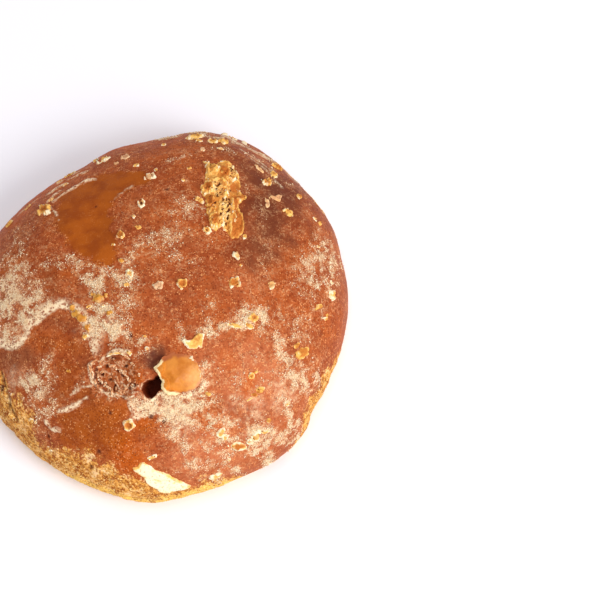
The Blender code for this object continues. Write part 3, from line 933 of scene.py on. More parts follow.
class Litter:
    """Lumps of one kind, each a closed shape laid on the skin, joined in one piece."""

    bed_depth: float = 0.5
    deep_sag: float = 9.0
    least_core: float = 0.25

    def __init__(self, name: str, bed: Bed, detail: int = 3) -> None:
        """Start an empty piece.

        Args:
            name: Name of the piece.
            bed: Skin to lie on.
            detail: Fineness of each lump.
        """
        self.name = name
        self.bed = bed
        self.detail = detail
        self.rough = Turbulence(31)
        self.whole = bmesh.new()
        self.tint = self.whole.verts.layers.float_color.new("tint")

    def _ball(self, detail: int) -> tuple[list[bmesh.types.BMVert], np.ndarray]:
        """Add a ball to the piece, and return its corners and their directions."""
        corners = bmesh.ops.create_icosphere(self.whole, subdivisions=detail, radius=1.0)["verts"]
        return corners, np.array([corner.co for corner in corners])

    def _spread(self, ball: np.ndarray) -> tuple[np.ndarray, np.ndarray]:
        """Distance from the middle of each corner seen from above, up to 1, and its heading."""
        spread = np.minimum(np.hypot(ball[:, 0], ball[:, 1]), 1.0)
        return spread, ball[:, :2] / np.maximum(spread, 1e-6)[:, None]

    def spread(self, patch: Patch, seat: Seat, half: tuple[float, float], detail: int) -> "Sheet":
        """Spread one fine ball over a patch of the skin.

        Args:
            patch: Outline of the piece.
            seat: Frame near its middle.
            half: Half the length and width of the oval that the ball is spread to, in millimetres.
            detail: Fineness of the ball.

        Returns:
            The sheet, ready to be raised inside the outline.
        """
        corners, ball = self._ball(detail)
        flat = ball[:, :2] * half
        places = seat.stand(flat)
        levels = self.bed.drape(seat, flat, np.zeros(len(flat)), self.deep_sag)
        return Sheet(corners, ball[:, 2] > 0.005, flat, places, patch.depth(levels))

    def _fill(self, patch: Patch, seat: Seat, ball: np.ndarray, power: float) -> np.ndarray:
        """Spread a ball's corners out to the outline of a patch.

        Args:
            patch: Outline to fill.
            seat: Frame at its middle.
            ball: Directions of the corners.
            power: Below 1 brings the corners nearer to the edge.

        Returns:
            Places in the frame.
        """
        border = np.array([self.bed.place(seat, corner) for corner in patch.corners])
        bearings = np.arctan2(border[:, 1], border[:, 0])
        order = np.argsort(bearings)
        spread, heading = self._spread(ball)
        wanted = np.arctan2(heading[:, 1], heading[:, 0])
        reach = np.interp(wanted, bearings[order], np.hypot(*border[order].T), period=math.tau)
        return heading * (reach * spread ** power)[:, None]

    def put(self, corners: list[bmesh.types.BMVert], points: np.ndarray, tints: np.ndarray) -> None:
        """Move corners to points of the casting's frame and colour them."""
        for corner, place, tint in zip(corners, (points - self.bed.offset) * MM, tints):
            corner.co = place
            corner[self.tint] = tint

    def add(self, lump: Lump) -> None:
        """Lay one more lump on the skin."""
        corners, ball = self._ball(self.detail)
        seat = self.bed.seat(lump.x, lump.y, lump.turn)
        spread, _ = self._spread(ball)
        flat = ball[:, :2] * (1.25 * lump.half_length, 1.25 * lump.half_width)
        flat[:, 1] += lump.curl * flat[:, 0] ** 2 / lump.half_length
        places = seat.stand(flat)
        rough = self.rough.wave(places, 1.1, 3)
        frayed = self.rough.wave(places + 9.0, 0.55 * (lump.half_length + lump.half_width), 3)
        there = ease((1.0 - 1.25 * spread + 1.5 * lump.ragged * frayed) / 0.16)
        leaves = ease((self.rough.wave(places + 30.0, 1.9, 3) + 0.05) / 0.12)
        sunk = lump.hollow * ease(1.6 * (1.0 - 1.5 * spread))
        face = lump.height * np.sqrt(1.0 - spread ** 5) * (1.0 - sunk) * (0.60 + 0.50 * leaves + 0.60 * rough)
        face = there * (face + self.bed_depth) - self.bed_depth
        height = np.where(ball[:, 2] > 0.01, face, -1.4 * self.bed_depth)
        height += lump.lift * (0.5 + 0.5 * flat[:, 0] / lump.half_length)
        core = max(lump.core, self.least_core) * ease(1.9 * (1.0 - 1.45 * spread) + 0.4 * rough)
        # Painted shade: a pit in the hollow middle and the low places of the rough face are darkened through the pores
        # tint.
        shaded_pit = lump.shaded_pit * ease(2.2 * (1.0 - 2.6 * spread) + 0.5 * rough)
        pores = np.maximum(shaded_pit, 0.8 * ease(-1.5 * rough - 0.3))
        tone = lump.tone - 0.25 + 0.55 * ease(1.6 * (spread - 0.25)) + 0.3 * rough
        tints = np.stack((core, pores, tone, np.full(len(ball), lump.dusty)), axis=1)
        self.put(corners, self.bed.drape(seat, flat, height), tints)

    def build(self) -> bpy.types.Object:
        """Finish the piece."""
        bmesh.ops.recalc_face_normals(self.whole, faces=self.whole.faces[:])
        mesh = bpy.data.meshes.new(self.name)
        self.whole.to_mesh(mesh)
        self.whole.free()
        mesh.shade_smooth()
        piece = bpy.data.objects.new(self.name, mesh)
        bpy.context.scene.collection.objects.link(piece)
        return piece


@dataclass(frozen=True)
class Sheet:
    """Ball spread over a patch of the skin."""

    corners: list[bmesh.types.BMVert]
    upper: np.ndarray
    flat: np.ndarray
    places: np.ndarray
    depth: np.ndarray


class Scab(Litter):
    """Porous cream crust where froth boiled up through the skin and set."""

    thickness: float = 0.7
    middle: tuple[float, float] = (29.5, 33.5)
    turn: float = 97.0
    half: tuple[float, float] = (22.0, 10.5)
    outline: Patch = Patch((
        (21.3, 51.0), (23.0, 48.3), (22.6, 43.6), (22.6, 39.5), (21.0, 34.7), (22.6, 32.2), (23.8, 28.8),
        (23.8, 25.0), (25.2, 22.0), (26.0, 18.4), (27.5, 16.8), (28.9, 19.5), (31.3, 17.5), (33.2, 14.3),
        (36.0, 15.0), (37.7, 18.4), (38.0, 22.0), (36.8, 26.0), (35.6, 29.4), (36.4, 31.6), (38.4, 33.8),
        (36.2, 36.8), (36.4, 39.6), (35.6, 44.8), (33.9, 49.5), (32.0, 52.2), (29.5, 53.0), (27.1, 50.6),
        (26.0, 47.8), (24.4, 50.2),
    ))
    swellings: tuple[Spot, ...] = (
        Spot(25.2, 45.8, 4.2, 3.4, 80.0, 0.5),
        Spot(29.4, 46.6, 3.6, 3.2, 90.0, 0.4),
        Spot(30.4, 41.4, 3.0, 2.0, 90.0, 0.8),
        Spot(23.9, 36.1, 3.2, 2.9, 60.0, 0.4),
        Spot(29.6, 35.4, 7.0, 1.2, 96.0, 0.7),
        Spot(25.4, 28.9, 4.4, 1.9, 95.0, 0.5),
        Spot(27.0, 21.6, 3.4, 2.9, 90.0, 1.4),
        Spot(35.5, 21.2, 8.0, 2.8, 92.0, 0.6),
        Spot(34.6, 30.5, 4.2, 1.9, 92.0, 0.5),
        Spot(33.0, 22.5, 8.5, 0.9, 96.0, 0.7),
        Spot(36.8, 33.6, 2.2, 1.4, 30.0, 0.7),
    )
    porous: tuple[Spot, ...] = (
        Spot(27.4, 36.6, 5.4, 2.6, 96.0, 1.8),
        Spot(30.9, 27.0, 7.6, 2.3, 96.0, 1.8),
        Spot(30.0, 21.4, 4.5, 1.8, 100.0, 1.3),
        Spot(33.3, 46.0, 6.5, 2.4, 100.0, 1.0),
        Spot(32.6, 38.4, 4.0, 1.6, 90.0, 0.7),
    )
    lumps: tuple[Lump, ...] = (
        Lump(25.0, 45.4, 4.2, 3.0, 2.2, 85.0, 0.62, 0.35),
        Lump(29.8, 45.2, 4.4, 2.3, 1.9, 95.0, 0.30, 0.30, 0.0, 1.3),
        Lump(23.8, 36.2, 2.9, 2.6, 2.1, 70.0, 0.52, 0.35, 0.0, 1.1),
        Lump(26.4, 25.6, 1.5, 2.2, 1.5, 0.0, 0.50, 0.40),
        Lump(27.3, 21.4, 3.4, 2.5, 2.0, 92.0, 0.42, 0.35, 0.0, 1.2),
        Lump(35.8, 21.6, 7.2, 2.5, 1.2, 93.0, 0.25, 0.15, 0.0, 1.4),
        Lump(36.6, 34.2, 2.4, 1.4, 1.3, 25.0, 0.45, 0.30, 0.0, 0.9),
        Lump(25.0, 30.4, 3.8, 1.6, 1.3, 88.0, 0.30, 0.35, 0.0, 1.3),
        Lump(32.6, 43.0, 1.7, 1.5, 1.3, 0.0, 0.75, 0.40),
        Lump(33.6, 26.6, 6.5, 0.8, 1.5, 96.0, 0.75, 0.50),
        Lump(30.4, 37.4, 4.4, 0.9, 1.5, 98.0, 0.80, 0.50),
    )
    deep_pores: tuple[Spot, ...] = (
        Spot(25.3, 38.8, 0.8, 0.6), Spot(28.1, 38.4, 0.8, 0.8), Spot(27.3, 36.4, 0.5, 0.5),
        Spot(28.6, 34.4, 0.6, 0.5), Spot(27.8, 32.6, 0.8, 0.6), Spot(32.1, 31.8, 0.7, 0.9),
        Spot(32.3, 29.4, 0.7, 0.9), Spot(32.1, 26.4, 0.7, 1.4), Spot(29.4, 24.0, 0.9, 0.6),
        Spot(32.2, 22.9, 0.6, 0.8), Spot(33.2, 45.7, 0.5, 0.5), Spot(33.4, 48.2, 0.5, 0.5),
        Spot(31.6, 20.6, 0.5, 1.0), Spot(29.7, 20.4, 0.5, 0.8), Spot(30.0, 26.8, 0.5, 0.6),
        Spot(27.0, 29.4, 0.5, 0.6), Spot(34.6, 43.6, 0.5, 0.5), Spot(29.9, 31.0, 0.5, 0.5),
        Spot(32.6, 36.6, 0.5, 0.7),
    )
    ribs: tuple[Trail, ...] = (
        Trail(((29.4, 41.4), (30.3, 39.0), (30.9, 36.0), (30.6, 32.5)), 1.1, 1.0),
        Trail(((33.4, 33.0), (33.9, 29.0), (33.8, 25.5), (33.3, 21.5), (33.6, 17.5)), 0.9, 1.0),
        Trail(((29.4, 23.6), (30.6, 21.4), (30.9, 19.4), (31.8, 17.8)), 0.8, 0.9),
        Trail(((21.5, 34.4), (22.4, 36.6), (23.6, 38.6), (24.6, 39.6)), 1.1, 0.9),
        Trail(((24.6, 20.8), (25.4, 18.8), (27.2, 17.8), (29.0, 19.2), (29.0, 22.0)), 1.2, 1.0),
        Trail(((29.0, 52.4), (32.0, 51.6), (34.4, 49.0), (35.4, 45.6), (34.8, 42.6)), 1.3, 0.9),
        Trail(((27.2, 41.8), (27.4, 45.0), (26.8, 48.2)), 0.9, 0.7),
        Trail(((31.0, 28.6), (30.9, 25.6), (31.2, 23.4)), 1.3, 0.8),
        Trail(((35.4, 33.0), (37.0, 32.6), (38.0, 34.0)), 0.7, 0.7),
    )
    worn: tuple[Spot, ...] = (
        Spot(34.4, 38.2, 3.0, 2.4, 70.0, 1.0),
        Spot(25.6, 30.4, 2.6, 1.3, 85.0, 0.5),
    )
    bright: tuple[Spot, ...] = (
        Spot(25.2, 44.6, 4.4, 3.0, 85.0, 1.4),
        Spot(26.4, 25.4, 1.6, 2.2, 0.0, 1.2),
        Spot(32.4, 43.4, 1.6, 1.6, 0.0, 1.2),
    )
    smooth: tuple[Spot, ...] = (
        Spot(29.6, 45.4, 4.2, 2.4, 95.0, 1.8),
        Spot(23.9, 36.6, 2.5, 2.2, 60.0, 1.5),
        Spot(25.4, 29.2, 4.8, 1.8, 95.0, 1.2),
        Spot(27.0, 22.2, 2.8, 2.3, 90.0, 1.8),
        Spot(35.6, 21.4, 8.6, 2.7, 92.0, 1.9),
        Spot(34.8, 31.4, 4.4, 1.8, 92.0, 1.3),
        Spot(33.6, 38.4, 3.0, 1.6, 90.0, 1.0),
        Spot(36.8, 33.6, 2.2, 1.4, 30.0, 1.0),
    )

    def __init__(self, bed: Bed) -> None:
        """Build the crust on the skin."""
        super().__init__("scab_crust", bed, 5)
        seat = bed.seat(*self.middle, self.turn)
        sheet = self.spread(self.outline, seat, self.half, 7)
        places = sheet.places
        rough = self.rough.wave(places, 2.0, 4)
        fine = self.rough.wave(places + 50.0, 0.9, 2)
        there = ease((sheet.depth + 0.45 * rough) / 0.35 + 0.5)
        bent = places + 0.5 * rough[:, None]
        holes = self._gather(self.porous, bent)
        smooth = self._gather(self.smooth, bent) * (1.0 - 0.4 * holes)
        gaps = ease((self.rough.cells(bent, 2.4) - 0.55) / 0.12) * (1.0 - 0.80 * smooth)
        sunk = np.max([shaded_pore.cover(bent, 2.2) for shaded_pore in self.deep_pores], axis=0)
        ribs = np.max([rib.cover(bent) for rib in self.ribs], axis=0)
        worn = self._gather(self.worn, bent)
        wide = ease(1.8 * (1.0 - self.rough.cells(places, 1.5) / 0.42))
        narrow = ease(1.8 * (1.0 - self.rough.cells(places + 7.0, 0.9) / 0.48))
        pores = np.clip(wide + 0.8 * narrow, 0.0, 1.0) * (0.05 + 0.95 * holes) * (1.0 - 0.9 * smooth)
        face = self.thickness * (0.45 + 0.55 * ease(sheet.depth / 1.6)) * (1.0 + 0.55 * rough + 0.50 * fine)
        face += sum(swelling.cover(bent, 1.7) for swelling in self.swellings)
        face += 0.7 * ribs
        face -= 0.6 * gaps + 1.2 * pores + 1.6 * sunk
        face *= 1.0 - 0.7 * worn
        face = there * (np.maximum(face, 0.08) + self.bed_depth) - self.bed_depth
        height = np.where(sheet.upper, face, -1.4 * self.bed_depth)
        edge = ease(1.0 - sheet.depth / 1.1)
        bright = self._gather(self.bright, bent)
        tone = 0.10 + 0.40 * rough + 0.46 * holes + 0.34 * edge + 0.20 * fine + 0.48 * ribs + 0.30 * bright
        tone = np.clip(tone, 0.0, 0.92)
        shine = np.clip(smooth * (1.0 - 0.6 * edge) * (1.0 - 0.8 * ribs) + 0.8 * worn, 0.0, 1.0)
        # Painted shade: pores, gaps between the cells and the deep pores are darkened in the tint, on top of their sunk
        # relief.
        dark = np.maximum(np.maximum(pores, 0.45 * gaps) * (1.0 - 0.5 * ribs), sunk)
        tints = np.stack((shine, dark, tone, 0.15 * holes), axis=1)
        self.put(sheet.corners, bed.drape(seat, sheet.flat, height, self.deep_sag), tints)
        for lump in self.lumps:
            self.add(lump)

    @staticmethod
    def _gather(spots: tuple[Spot, ...], places: np.ndarray) -> np.ndarray:
        """Share of each place that the spots cover together."""
        return np.clip(sum(spot.cover(places, 1.8) for spot in spots), 0.0, 1.0)


class Blister(Litter):
    """Thin amber bubble, burst open on its left and lower sides, where its pale wall shows."""

    rise: float = 2.6
    steep_slope: float = 2.6
    gentle_slope: float = 5.0
    flush_side: tuple[float, float, float] = (0.8, 0.6, 0.0)
    bed_under: float = 0.35
    sag: float = 0.3
    middle: tuple[float, float] = (15.5, -39.5)
    outline: Patch = Patch((
        (9.2, -34.2), (7.9, -36.2), (6.0, -37.9), (6.9, -39.4), (7.9, -40.8), (8.9, -42.4), (8.8, -44.2),
        (9.2, -45.8), (11.0, -47.0), (14.6, -46.7), (18.4, -45.9), (21.4, -44.2), (23.4, -41.4),
        (23.8, -38.0), (22.8, -34.6), (20.0, -32.2), (16.3, -31.6), (12.8, -32.4), (10.8, -33.4),
    ))
    burst: tuple[Spot, ...] = (
        Spot(6.8, -38.0, 3.6, 4.6, 140.0, 1.4),
        Spot(8.6, -43.6, 3.6, 3.6, 80.0, 1.5),
        Spot(12.6, -47.6, 5.6, 2.6, 172.0, 1.3),
    )

    def __init__(self, bed: Bed) -> None:
        """Build the blister on the skin."""
        super().__init__("blister_shell", bed)
        corners, ball = self._ball(6)
        seat = bed.seat(*self.middle)
        flat = self._fill(self.outline, seat, ball, 0.85)
        places = seat.stand(flat)
        rough = self.rough.wave(places, 2.6, 3)
        ragged = self.rough.wave(places + 20.0, 1.3, 3)
        flat *= (1.0 + 0.035 * ragged)[:, None]
        opened = ease(np.clip(sum(spot.cover(places, 1.5) for spot in self.burst), 0.0, 1.0))
        depth = np.maximum(self.outline.depth(bed.drape(seat, flat, np.zeros(len(flat)), self.sag)), 0.0)
        steep = np.sqrt(1.0 - (1.0 - np.clip(depth / self.steep_slope, 0.0, 1.0)) ** 2)
        towards = (places - seat.origin) @ np.array(self.flush_side)
        lifted = np.clip(0.5 - towards / 18.0, 0.0, 1.0)
        gentle = ease(depth / self.gentle_slope)
        dome = self.rise * lifted * (gentle + (steep - gentle) * opened) + 0.35 * ease(depth / 2.0)
        dome *= 0.92 + 0.10 * rough
        wall = 0.40 * self.rise * opened * (1.0 - steep) * (1.0 + 0.4 * ragged)
        shell = dome + wall - self.bed_under * (1.0 - opened)
        height = np.where(ball[:, 2] > 0.01, shell, -2.0 * self.bed_under)
        low = ease((-44.5 - places[:, 1]) / 2.0)
        pale = ease(1.6 * opened) * ease((0.9 + 0.7 * low + 0.5 * ragged - depth) / 0.3)
        top = ease((places[:, 1] + 37.5) / 5.0)
        # Painted light: the side of the shell towards the key light, on the right, is given a lighter, rosier colour.
        light = ease((places[:, 0] - 15.0) / 8.0)
        band = 0.8 + 2.4 * top + 1.2 * light
        merged = (1.0 - ease(1.4 * opened)) * ease((0.5 + 3.2 * top + 1.0 * light + 1.2 * rough - depth) / band)
        tints = np.stack((merged, ease(-rough), pale, light), axis=1)
        self.put(corners, bed.drape(seat, flat, height, self.sag), tints)


@dataclass(frozen=True)
class Chip:
    """Flat broken chip with crisp edges, seen from above, in millimetres and degrees."""

    outline: Patch
    middle: tuple[float, float]
    half: tuple[float, float]
    turn: float = 0.0
    thickness: float = 0.7
    lift: float = 0.0
    tone: float = 1.15
    edge_tone: float = -0.25

    def lay(self, litter: Litter, detail: int) -> None:
        """Add the chip to a piece."""
        seat = litter.bed.seat(*self.middle, self.turn)
        sheet = litter.spread(self.outline, seat, self.half, detail)
        rough = litter.rough.wave(sheet.places, 3.0, 4)
        fine = litter.rough.wave(sheet.places + 60.0, 0.9, 2)
        there = ease((sheet.depth + 0.35 * rough) / 0.25 + 0.5)
        thick = self.thickness * (1.0 + 0.35 * rough + 0.12 * fine)
        thick += self.lift * (0.5 + 0.5 * sheet.flat[:, 0] / self.half[0])
        face = there * (thick + litter.bed_depth) - litter.bed_depth
        height = np.where(sheet.upper, face, -1.4 * litter.bed_depth)
        bare = np.zeros(len(rough))
        tone = self.tone + 0.3 * rough + self.edge_tone * ease(1.0 - sheet.depth)
        litter.put(sheet.corners, litter.bed.drape(seat, sheet.flat, height, litter.deep_sag),
                   np.stack((bare, bare, tone, bare), axis=1))


PALE_CHIP = Chip(
    Patch((
        (-3.3, -70.0), (-0.8, -69.6), (1.2, -68.1), (3.7, -69.6), (6.0, -71.0), (9.4, -71.4), (12.5, -72.6),
        (16.0, -73.6), (19.5, -74.4), (18.0, -75.6), (12.7, -76.9), (7.8, -77.2), (5.3, -75.8), (2.3, -74.6),
        (0.6, -72.7), (-1.6, -71.5),
    )),
    (7.5, -73.0), (15.0, 7.5), -20.0,
)
YELLOW_FLAKE = Chip(
    Patch((
        (15.6, -27.7), (17.1, -27.2), (18.1, -27.9), (19.4, -27.2), (20.5, -26.0), (21.9, -24.6), (24.0, -25.0),
        (23.9, -27.0), (23.4, -30.0), (22.3, -29.4), (21.2, -30.4), (19.0, -30.5), (17.4, -29.2), (16.8, -28.4),
    )),
    (20.4, -27.8), (6.0, 3.8), 25.0, 0.8, 0.7, 0.50, 0.40,
)


@dataclass(frozen=True)
class Froth:
    """Dry lumps, flakes and burst bubbles of cream froth, with each one's place on the block."""

    rings: tuple[Lump, ...] = (
        Lump(-8.6, 14.3, 2.1, 2.0, 1.3, 0.0, 0.75, 0.32, 0.75, 1.0),
        Lump(15.8, -6.0, 2.2, 2.0, 1.3, 40.0, 0.60, 0.30, 0.75, 1.0),
        Lump(34.8, -4.0, 2.6, 2.1, 1.4, 20.0, 0.65, 0.40, 0.70, 1.0),
        Lump(-3.4, -56.8, 2.1, 2.1, 1.5, 0.0, 0.66, 0.45, 0.55, 1.0),
        Lump(-1.5, 29.0, 1.6, 2.2, 1.1, 15.0, 1.05, 0.40, 0.80, 0.0, 1.0, dusty=0.3),
        Lump(-10.6, 56.4, 1.9, 1.9, 0.6, 0.0, 0.30, 0.25, 0.50, 0.5, dusty=0.8),
    )
    flakes: tuple[Lump, ...] = (
        Lump(7.0, -7.0, 2.1, 1.8, 1.0, 150.0, 0.55, 0.35, dusty=0.9),
        Lump(48.7, -2.7, 1.7, 2.4, 1.1, 10.0, 0.80, 0.35, 0.3, dusty=0.4),
        Lump(1.0, 42.5, 2.4, 1.8, 1.2, 20.0, 0.85, 0.45, dusty=0.7),
        Lump(-5.3, 49.8, 1.4, 1.0, 0.8, 0.0, 0.90, 0.35),
        Lump(3.0, 46.5, 0.8, 0.8, 0.6, 0.0, 0.85, 0.30),
        Lump(16.0, 47.0, 1.0, 1.0, 0.7, 0.0, 0.60, 0.30),
        Lump(14.0, 40.2, 0.7, 0.6, 0.5, 0.0, 0.60, 0.30),
        Lump(-4.0, 22.7, 0.9, 0.7, 0.6, 0.0, 0.85, 0.40),
        Lump(-2.0, 17.8, 1.3, 0.8, 0.7, 160.0, 0.55, 0.40),
        Lump(-11.0, 10.2, 0.8, 0.6, 0.5, 0.0, 0.80, 0.40),
        Lump(35.7, 7.6, 1.5, 2.1, 1.0, 15.0, 0.90, 0.40, dusty=0.4),
        Lump(37.2, 3.6, 0.6, 0.6, 0.5, 0.0, 0.60, 0.35),
        Lump(24.0, 17.0, 2.0, 1.4, 1.1, 165.0, 0.85, 0.45),
        Lump(38.5, 16.0, 1.1, 0.8, 0.6, 70.0, 0.70, 0.45),
        Lump(20.0, 31.0, 1.3, 1.0, 0.8, 0.0, 0.70, 0.40),
        Lump(4.5, 62.5, 1.1, 0.7, 0.5, 0.0, 0.80, 0.30),
        Lump(-40.8, 30.9, 2.6, 2.5, 1.6, 30.0, 0.55, 0.60, 0.3, 0.9, 0.5),
        Lump(-39.2, 28.6, 1.3, 1.0, 1.2, 0.0, 0.95, 0.55),
        Lump(-42.2, 32.8, 1.2, 1.0, 1.0, 60.0, 0.85, 0.55),
        Lump(-38.6, 35.8, 0.8, 1.4, 0.7, 150.0, 0.60, 0.50, dusty=0.4),
        Lump(-34.4, 44.6, 1.6, 0.7, 0.5, 40.0, 0.55, 0.50, dusty=0.4),
        Lump(-19.8, 56.6, 2.8, 1.7, 0.9, 24.0, 0.75, 0.60),
        Lump(-23.6, 58.0, 1.6, 1.0, 0.7, 20.0, 0.90, 0.50),
        Lump(-14.0, 52.6, 1.1, 0.9, 0.6, 0.0, 0.45, 0.45, dusty=0.6),
        Lump(16.8, 67.6, 3.4, 2.4, 1.0, 10.0, 0.60, 0.60),
        Lump(18.6, 64.4, 1.8, 0.9, 0.7, 150.0, 0.80, 0.50),
        Lump(24.3, 64.6, 1.8, 1.5, 1.0, 0.0, 0.55, 0.55),
        Lump(28.6, 65.2, 2.1, 2.1, 1.1, 0.0, 0.60, 0.55),
        Lump(27.6, 59.6, 1.8, 0.7, 0.5, 160.0, 0.90, 0.45, dusty=0.4),
        Lump(20.8, 58.4, 1.0, 1.4, 0.4, 20.0, 0.50, 0.45, dusty=0.8),
        Lump(50.4, 37.2, 3.4, 1.4, 1.2, 20.0, 0.35, 0.45, 0.4, 0.3, dusty=0.6),
        Lump(46.8, 33.4, 0.9, 2.4, 0.6, 10.0, 0.50, 0.50, dusty=0.7),
        Lump(43.4, 51.5, 2.2, 0.8, 0.5, 140.0, 0.55, 0.50, dusty=0.6),
        Lump(60.6, -26.0, 2.8, 2.0, 1.1, 30.0, 0.25, 0.75, 0.0, 0.5),
        Lump(58.6, -24.2, 1.6, 1.0, 0.9, 60.0, 0.35, 0.60),
        Lump(42.2, -16.6, 2.0, 1.7, 1.2, 20.0, 0.45, 0.35),
        Lump(40.4, -20.0, 2.4, 1.2, 0.9, 160.0, 0.80, 0.40),
        Lump(35.4, -20.6, 3.2, 0.8, 0.7, 172.0, 0.75, 0.40),
        Lump(44.5, -43.0, 2.2, 1.4, 1.0, 30.0, 0.55, 0.50),
        Lump(42.6, -44.4, 1.2, 0.9, 0.8, 0.0, 0.30, 0.40, 0.0, 0.8),
        Lump(41.5, -38.0, 1.1, 1.3, 0.9, 0.0, 0.55, 0.40),
        Lump(43.4, -36.4, 1.5, 0.6, 0.5, 20.0, 0.70, 0.40),
        Lump(25.5, -45.5, 1.2, 1.0, 0.8, 0.0, 0.60, 0.40),
        Lump(55.0, -45.5, 1.6, 0.4, 0.4, 35.0, 0.80, 0.35),
        Lump(41.0, -46.0, 1.6, 0.4, 0.4, 35.0, 0.75, 0.35),
        Lump(30.4, -57.6, 2.2, 1.4, 1.4, 50.0, 0.95, 0.35, 0.2, 0.3),
        Lump(31.6, -58.8, 1.5, 1.1, 1.3, 30.0, 0.95, 0.35),
        Lump(43.2, -57.4, 2.6, 1.8, 1.3, 60.0, 1.05, 0.45),
        Lump(41.0, -59.4, 1.6, 1.2, 0.9, 0.0, 1.10, 0.45),
        Lump(36.6, -61.0, 3.6, 1.7, 1.1, 172.0, 0.85, 0.30, 0.5, 1.0),
        Lump(46.4, -55.8, 1.2, 0.8, 0.8, 0.0, 0.65, 0.40),
        Lump(48.0, -52.0, 1.1, 0.9, 0.9, 0.0, 0.55, 0.35),
        Lump(4.6, -67.0, 1.9, 0.8, 0.8, 30.0, 1.00, 0.45),
        Lump(33.0, -65.5, 0.7, 0.5, 0.5, 30.0, 0.80, 0.30),
        Lump(28.0, -70.5, 2.8, 1.1, 0.9, 12.0, 0.95, 0.45),
        Lump(-51.0, -48.0, 1.4, 1.1, 0.9, 0.0, 0.55, 0.35),
        Lump(-41.5, -51.5, 0.9, 0.5, 0.5, 150.0, 0.95, 0.40),
        Lump(-20.0, -25.5, 1.4, 1.0, 0.7, 30.0, 0.80, 0.45),
        Lump(-19.0, -22.0, 1.0, 0.9, 0.7, 0.0, 0.40, 0.40),
        Lump(-4.0, -2.5, 1.5, 2.2, 1.0, 20.0, 1.00, 0.45),
        Lump(-5.0, -6.4, 1.3, 1.2, 0.7, 0.0, 0.80, 0.45),
        Lump(-19.0, -14.5, 1.2, 0.6, 0.7, 20.0, 0.80, 0.40),
        Lump(-13.4, -14.4, 0.8, 0.6, 0.7, 0.0, 1.00, 0.40),
        Lump(2.4, -26.4, 0.8, 0.6, 0.5, 0.0, 0.80, 0.40),
        Lump(-3.2, -32.6, 1.2, 1.0, 0.8, 0.0, 0.85, 0.40),
        Lump(-8.6, -32.4, 3.4, 0.6, 0.6, 8.0, 0.90, 0.45, 0.0, 0.0, 0.0, 0.0, -0.25),
        Lump(3.3, -31.0, 1.0, 0.9, 0.8, 0.0, 1.00, 0.40, dusty=0.5),
        Lump(19.4, -34.0, 1.3, 1.0, 0.5, 10.0, 1.05, 0.55, dusty=0.5),
        Lump(-42.4, -51.0, 0.9, 0.5, 0.5, 30.0, 1.05, 0.45),
        Lump(-40.1, -52.3, 0.8, 0.5, 0.5, 60.0, 1.05, 0.45),
        Lump(-36.0, -60.3, 0.6, 0.5, 0.4, 0.0, 1.05, 0.45),
        Lump(-35.0, -61.4, 0.9, 0.5, 0.5, 30.0, 1.05, 0.45),
        Lump(21.0, 30.4, 1.6, 1.2, 0.9, 150.0, 0.70, 0.50),
        Lump(-34.0, 52.5, 2.2, 0.9, 0.7, 35.0, 0.50, 0.50),
        Lump(-37.6, 48.6, 1.4, 0.8, 0.5, 40.0, 0.45, 0.50, dusty=0.4),
        Lump(-49.6, 36.6, 1.8, 0.9, 0.7, 50.0, 0.45, 0.50, dusty=0.3),
        Lump(-56.8, 30.0, 2.0, 1.2, 0.8, 60.0, 0.50, 0.50),
    )

    def build(self, bed: Bed) -> bpy.types.Object:
        """Lay all lumps, and some more where the block can't be seen well."""
        litter = Litter("froth_flakes", bed, 4)
        for lump in (*self.rings, *self.flakes, *self._far_lumps()):
            litter.add(lump)
        YELLOW_FLAKE.lay(litter, 5)
        return litter.build()

    def _far_lumps(self) -> list[Lump]:
        """Draw lumps of all kinds for the back slope and the right side."""
        rng = np.random.default_rng(41)
        lumps = []
        for _ in range(34):
            bearing = math.radians(rng.uniform(-15.0, 165.0))
            radius = rng.uniform(60.0, 77.0) if bearing < 0.9 else rng.uniform(77.0, 80.0)
            size = rng.uniform(0.4, 1.0) ** 2 * 2.8
            lumps.append(Lump(
                radius * math.cos(bearing), radius * math.sin(bearing), size, size * rng.uniform(0.4, 0.9),
                0.35 * size + 0.3, rng.uniform(0.0, 180.0), rng.uniform(0.3, 1.0), 0.4,
                0.7 * (rng.random() < 0.2), 0.8 * (rng.random() < 0.25),
            ))
        return lumps


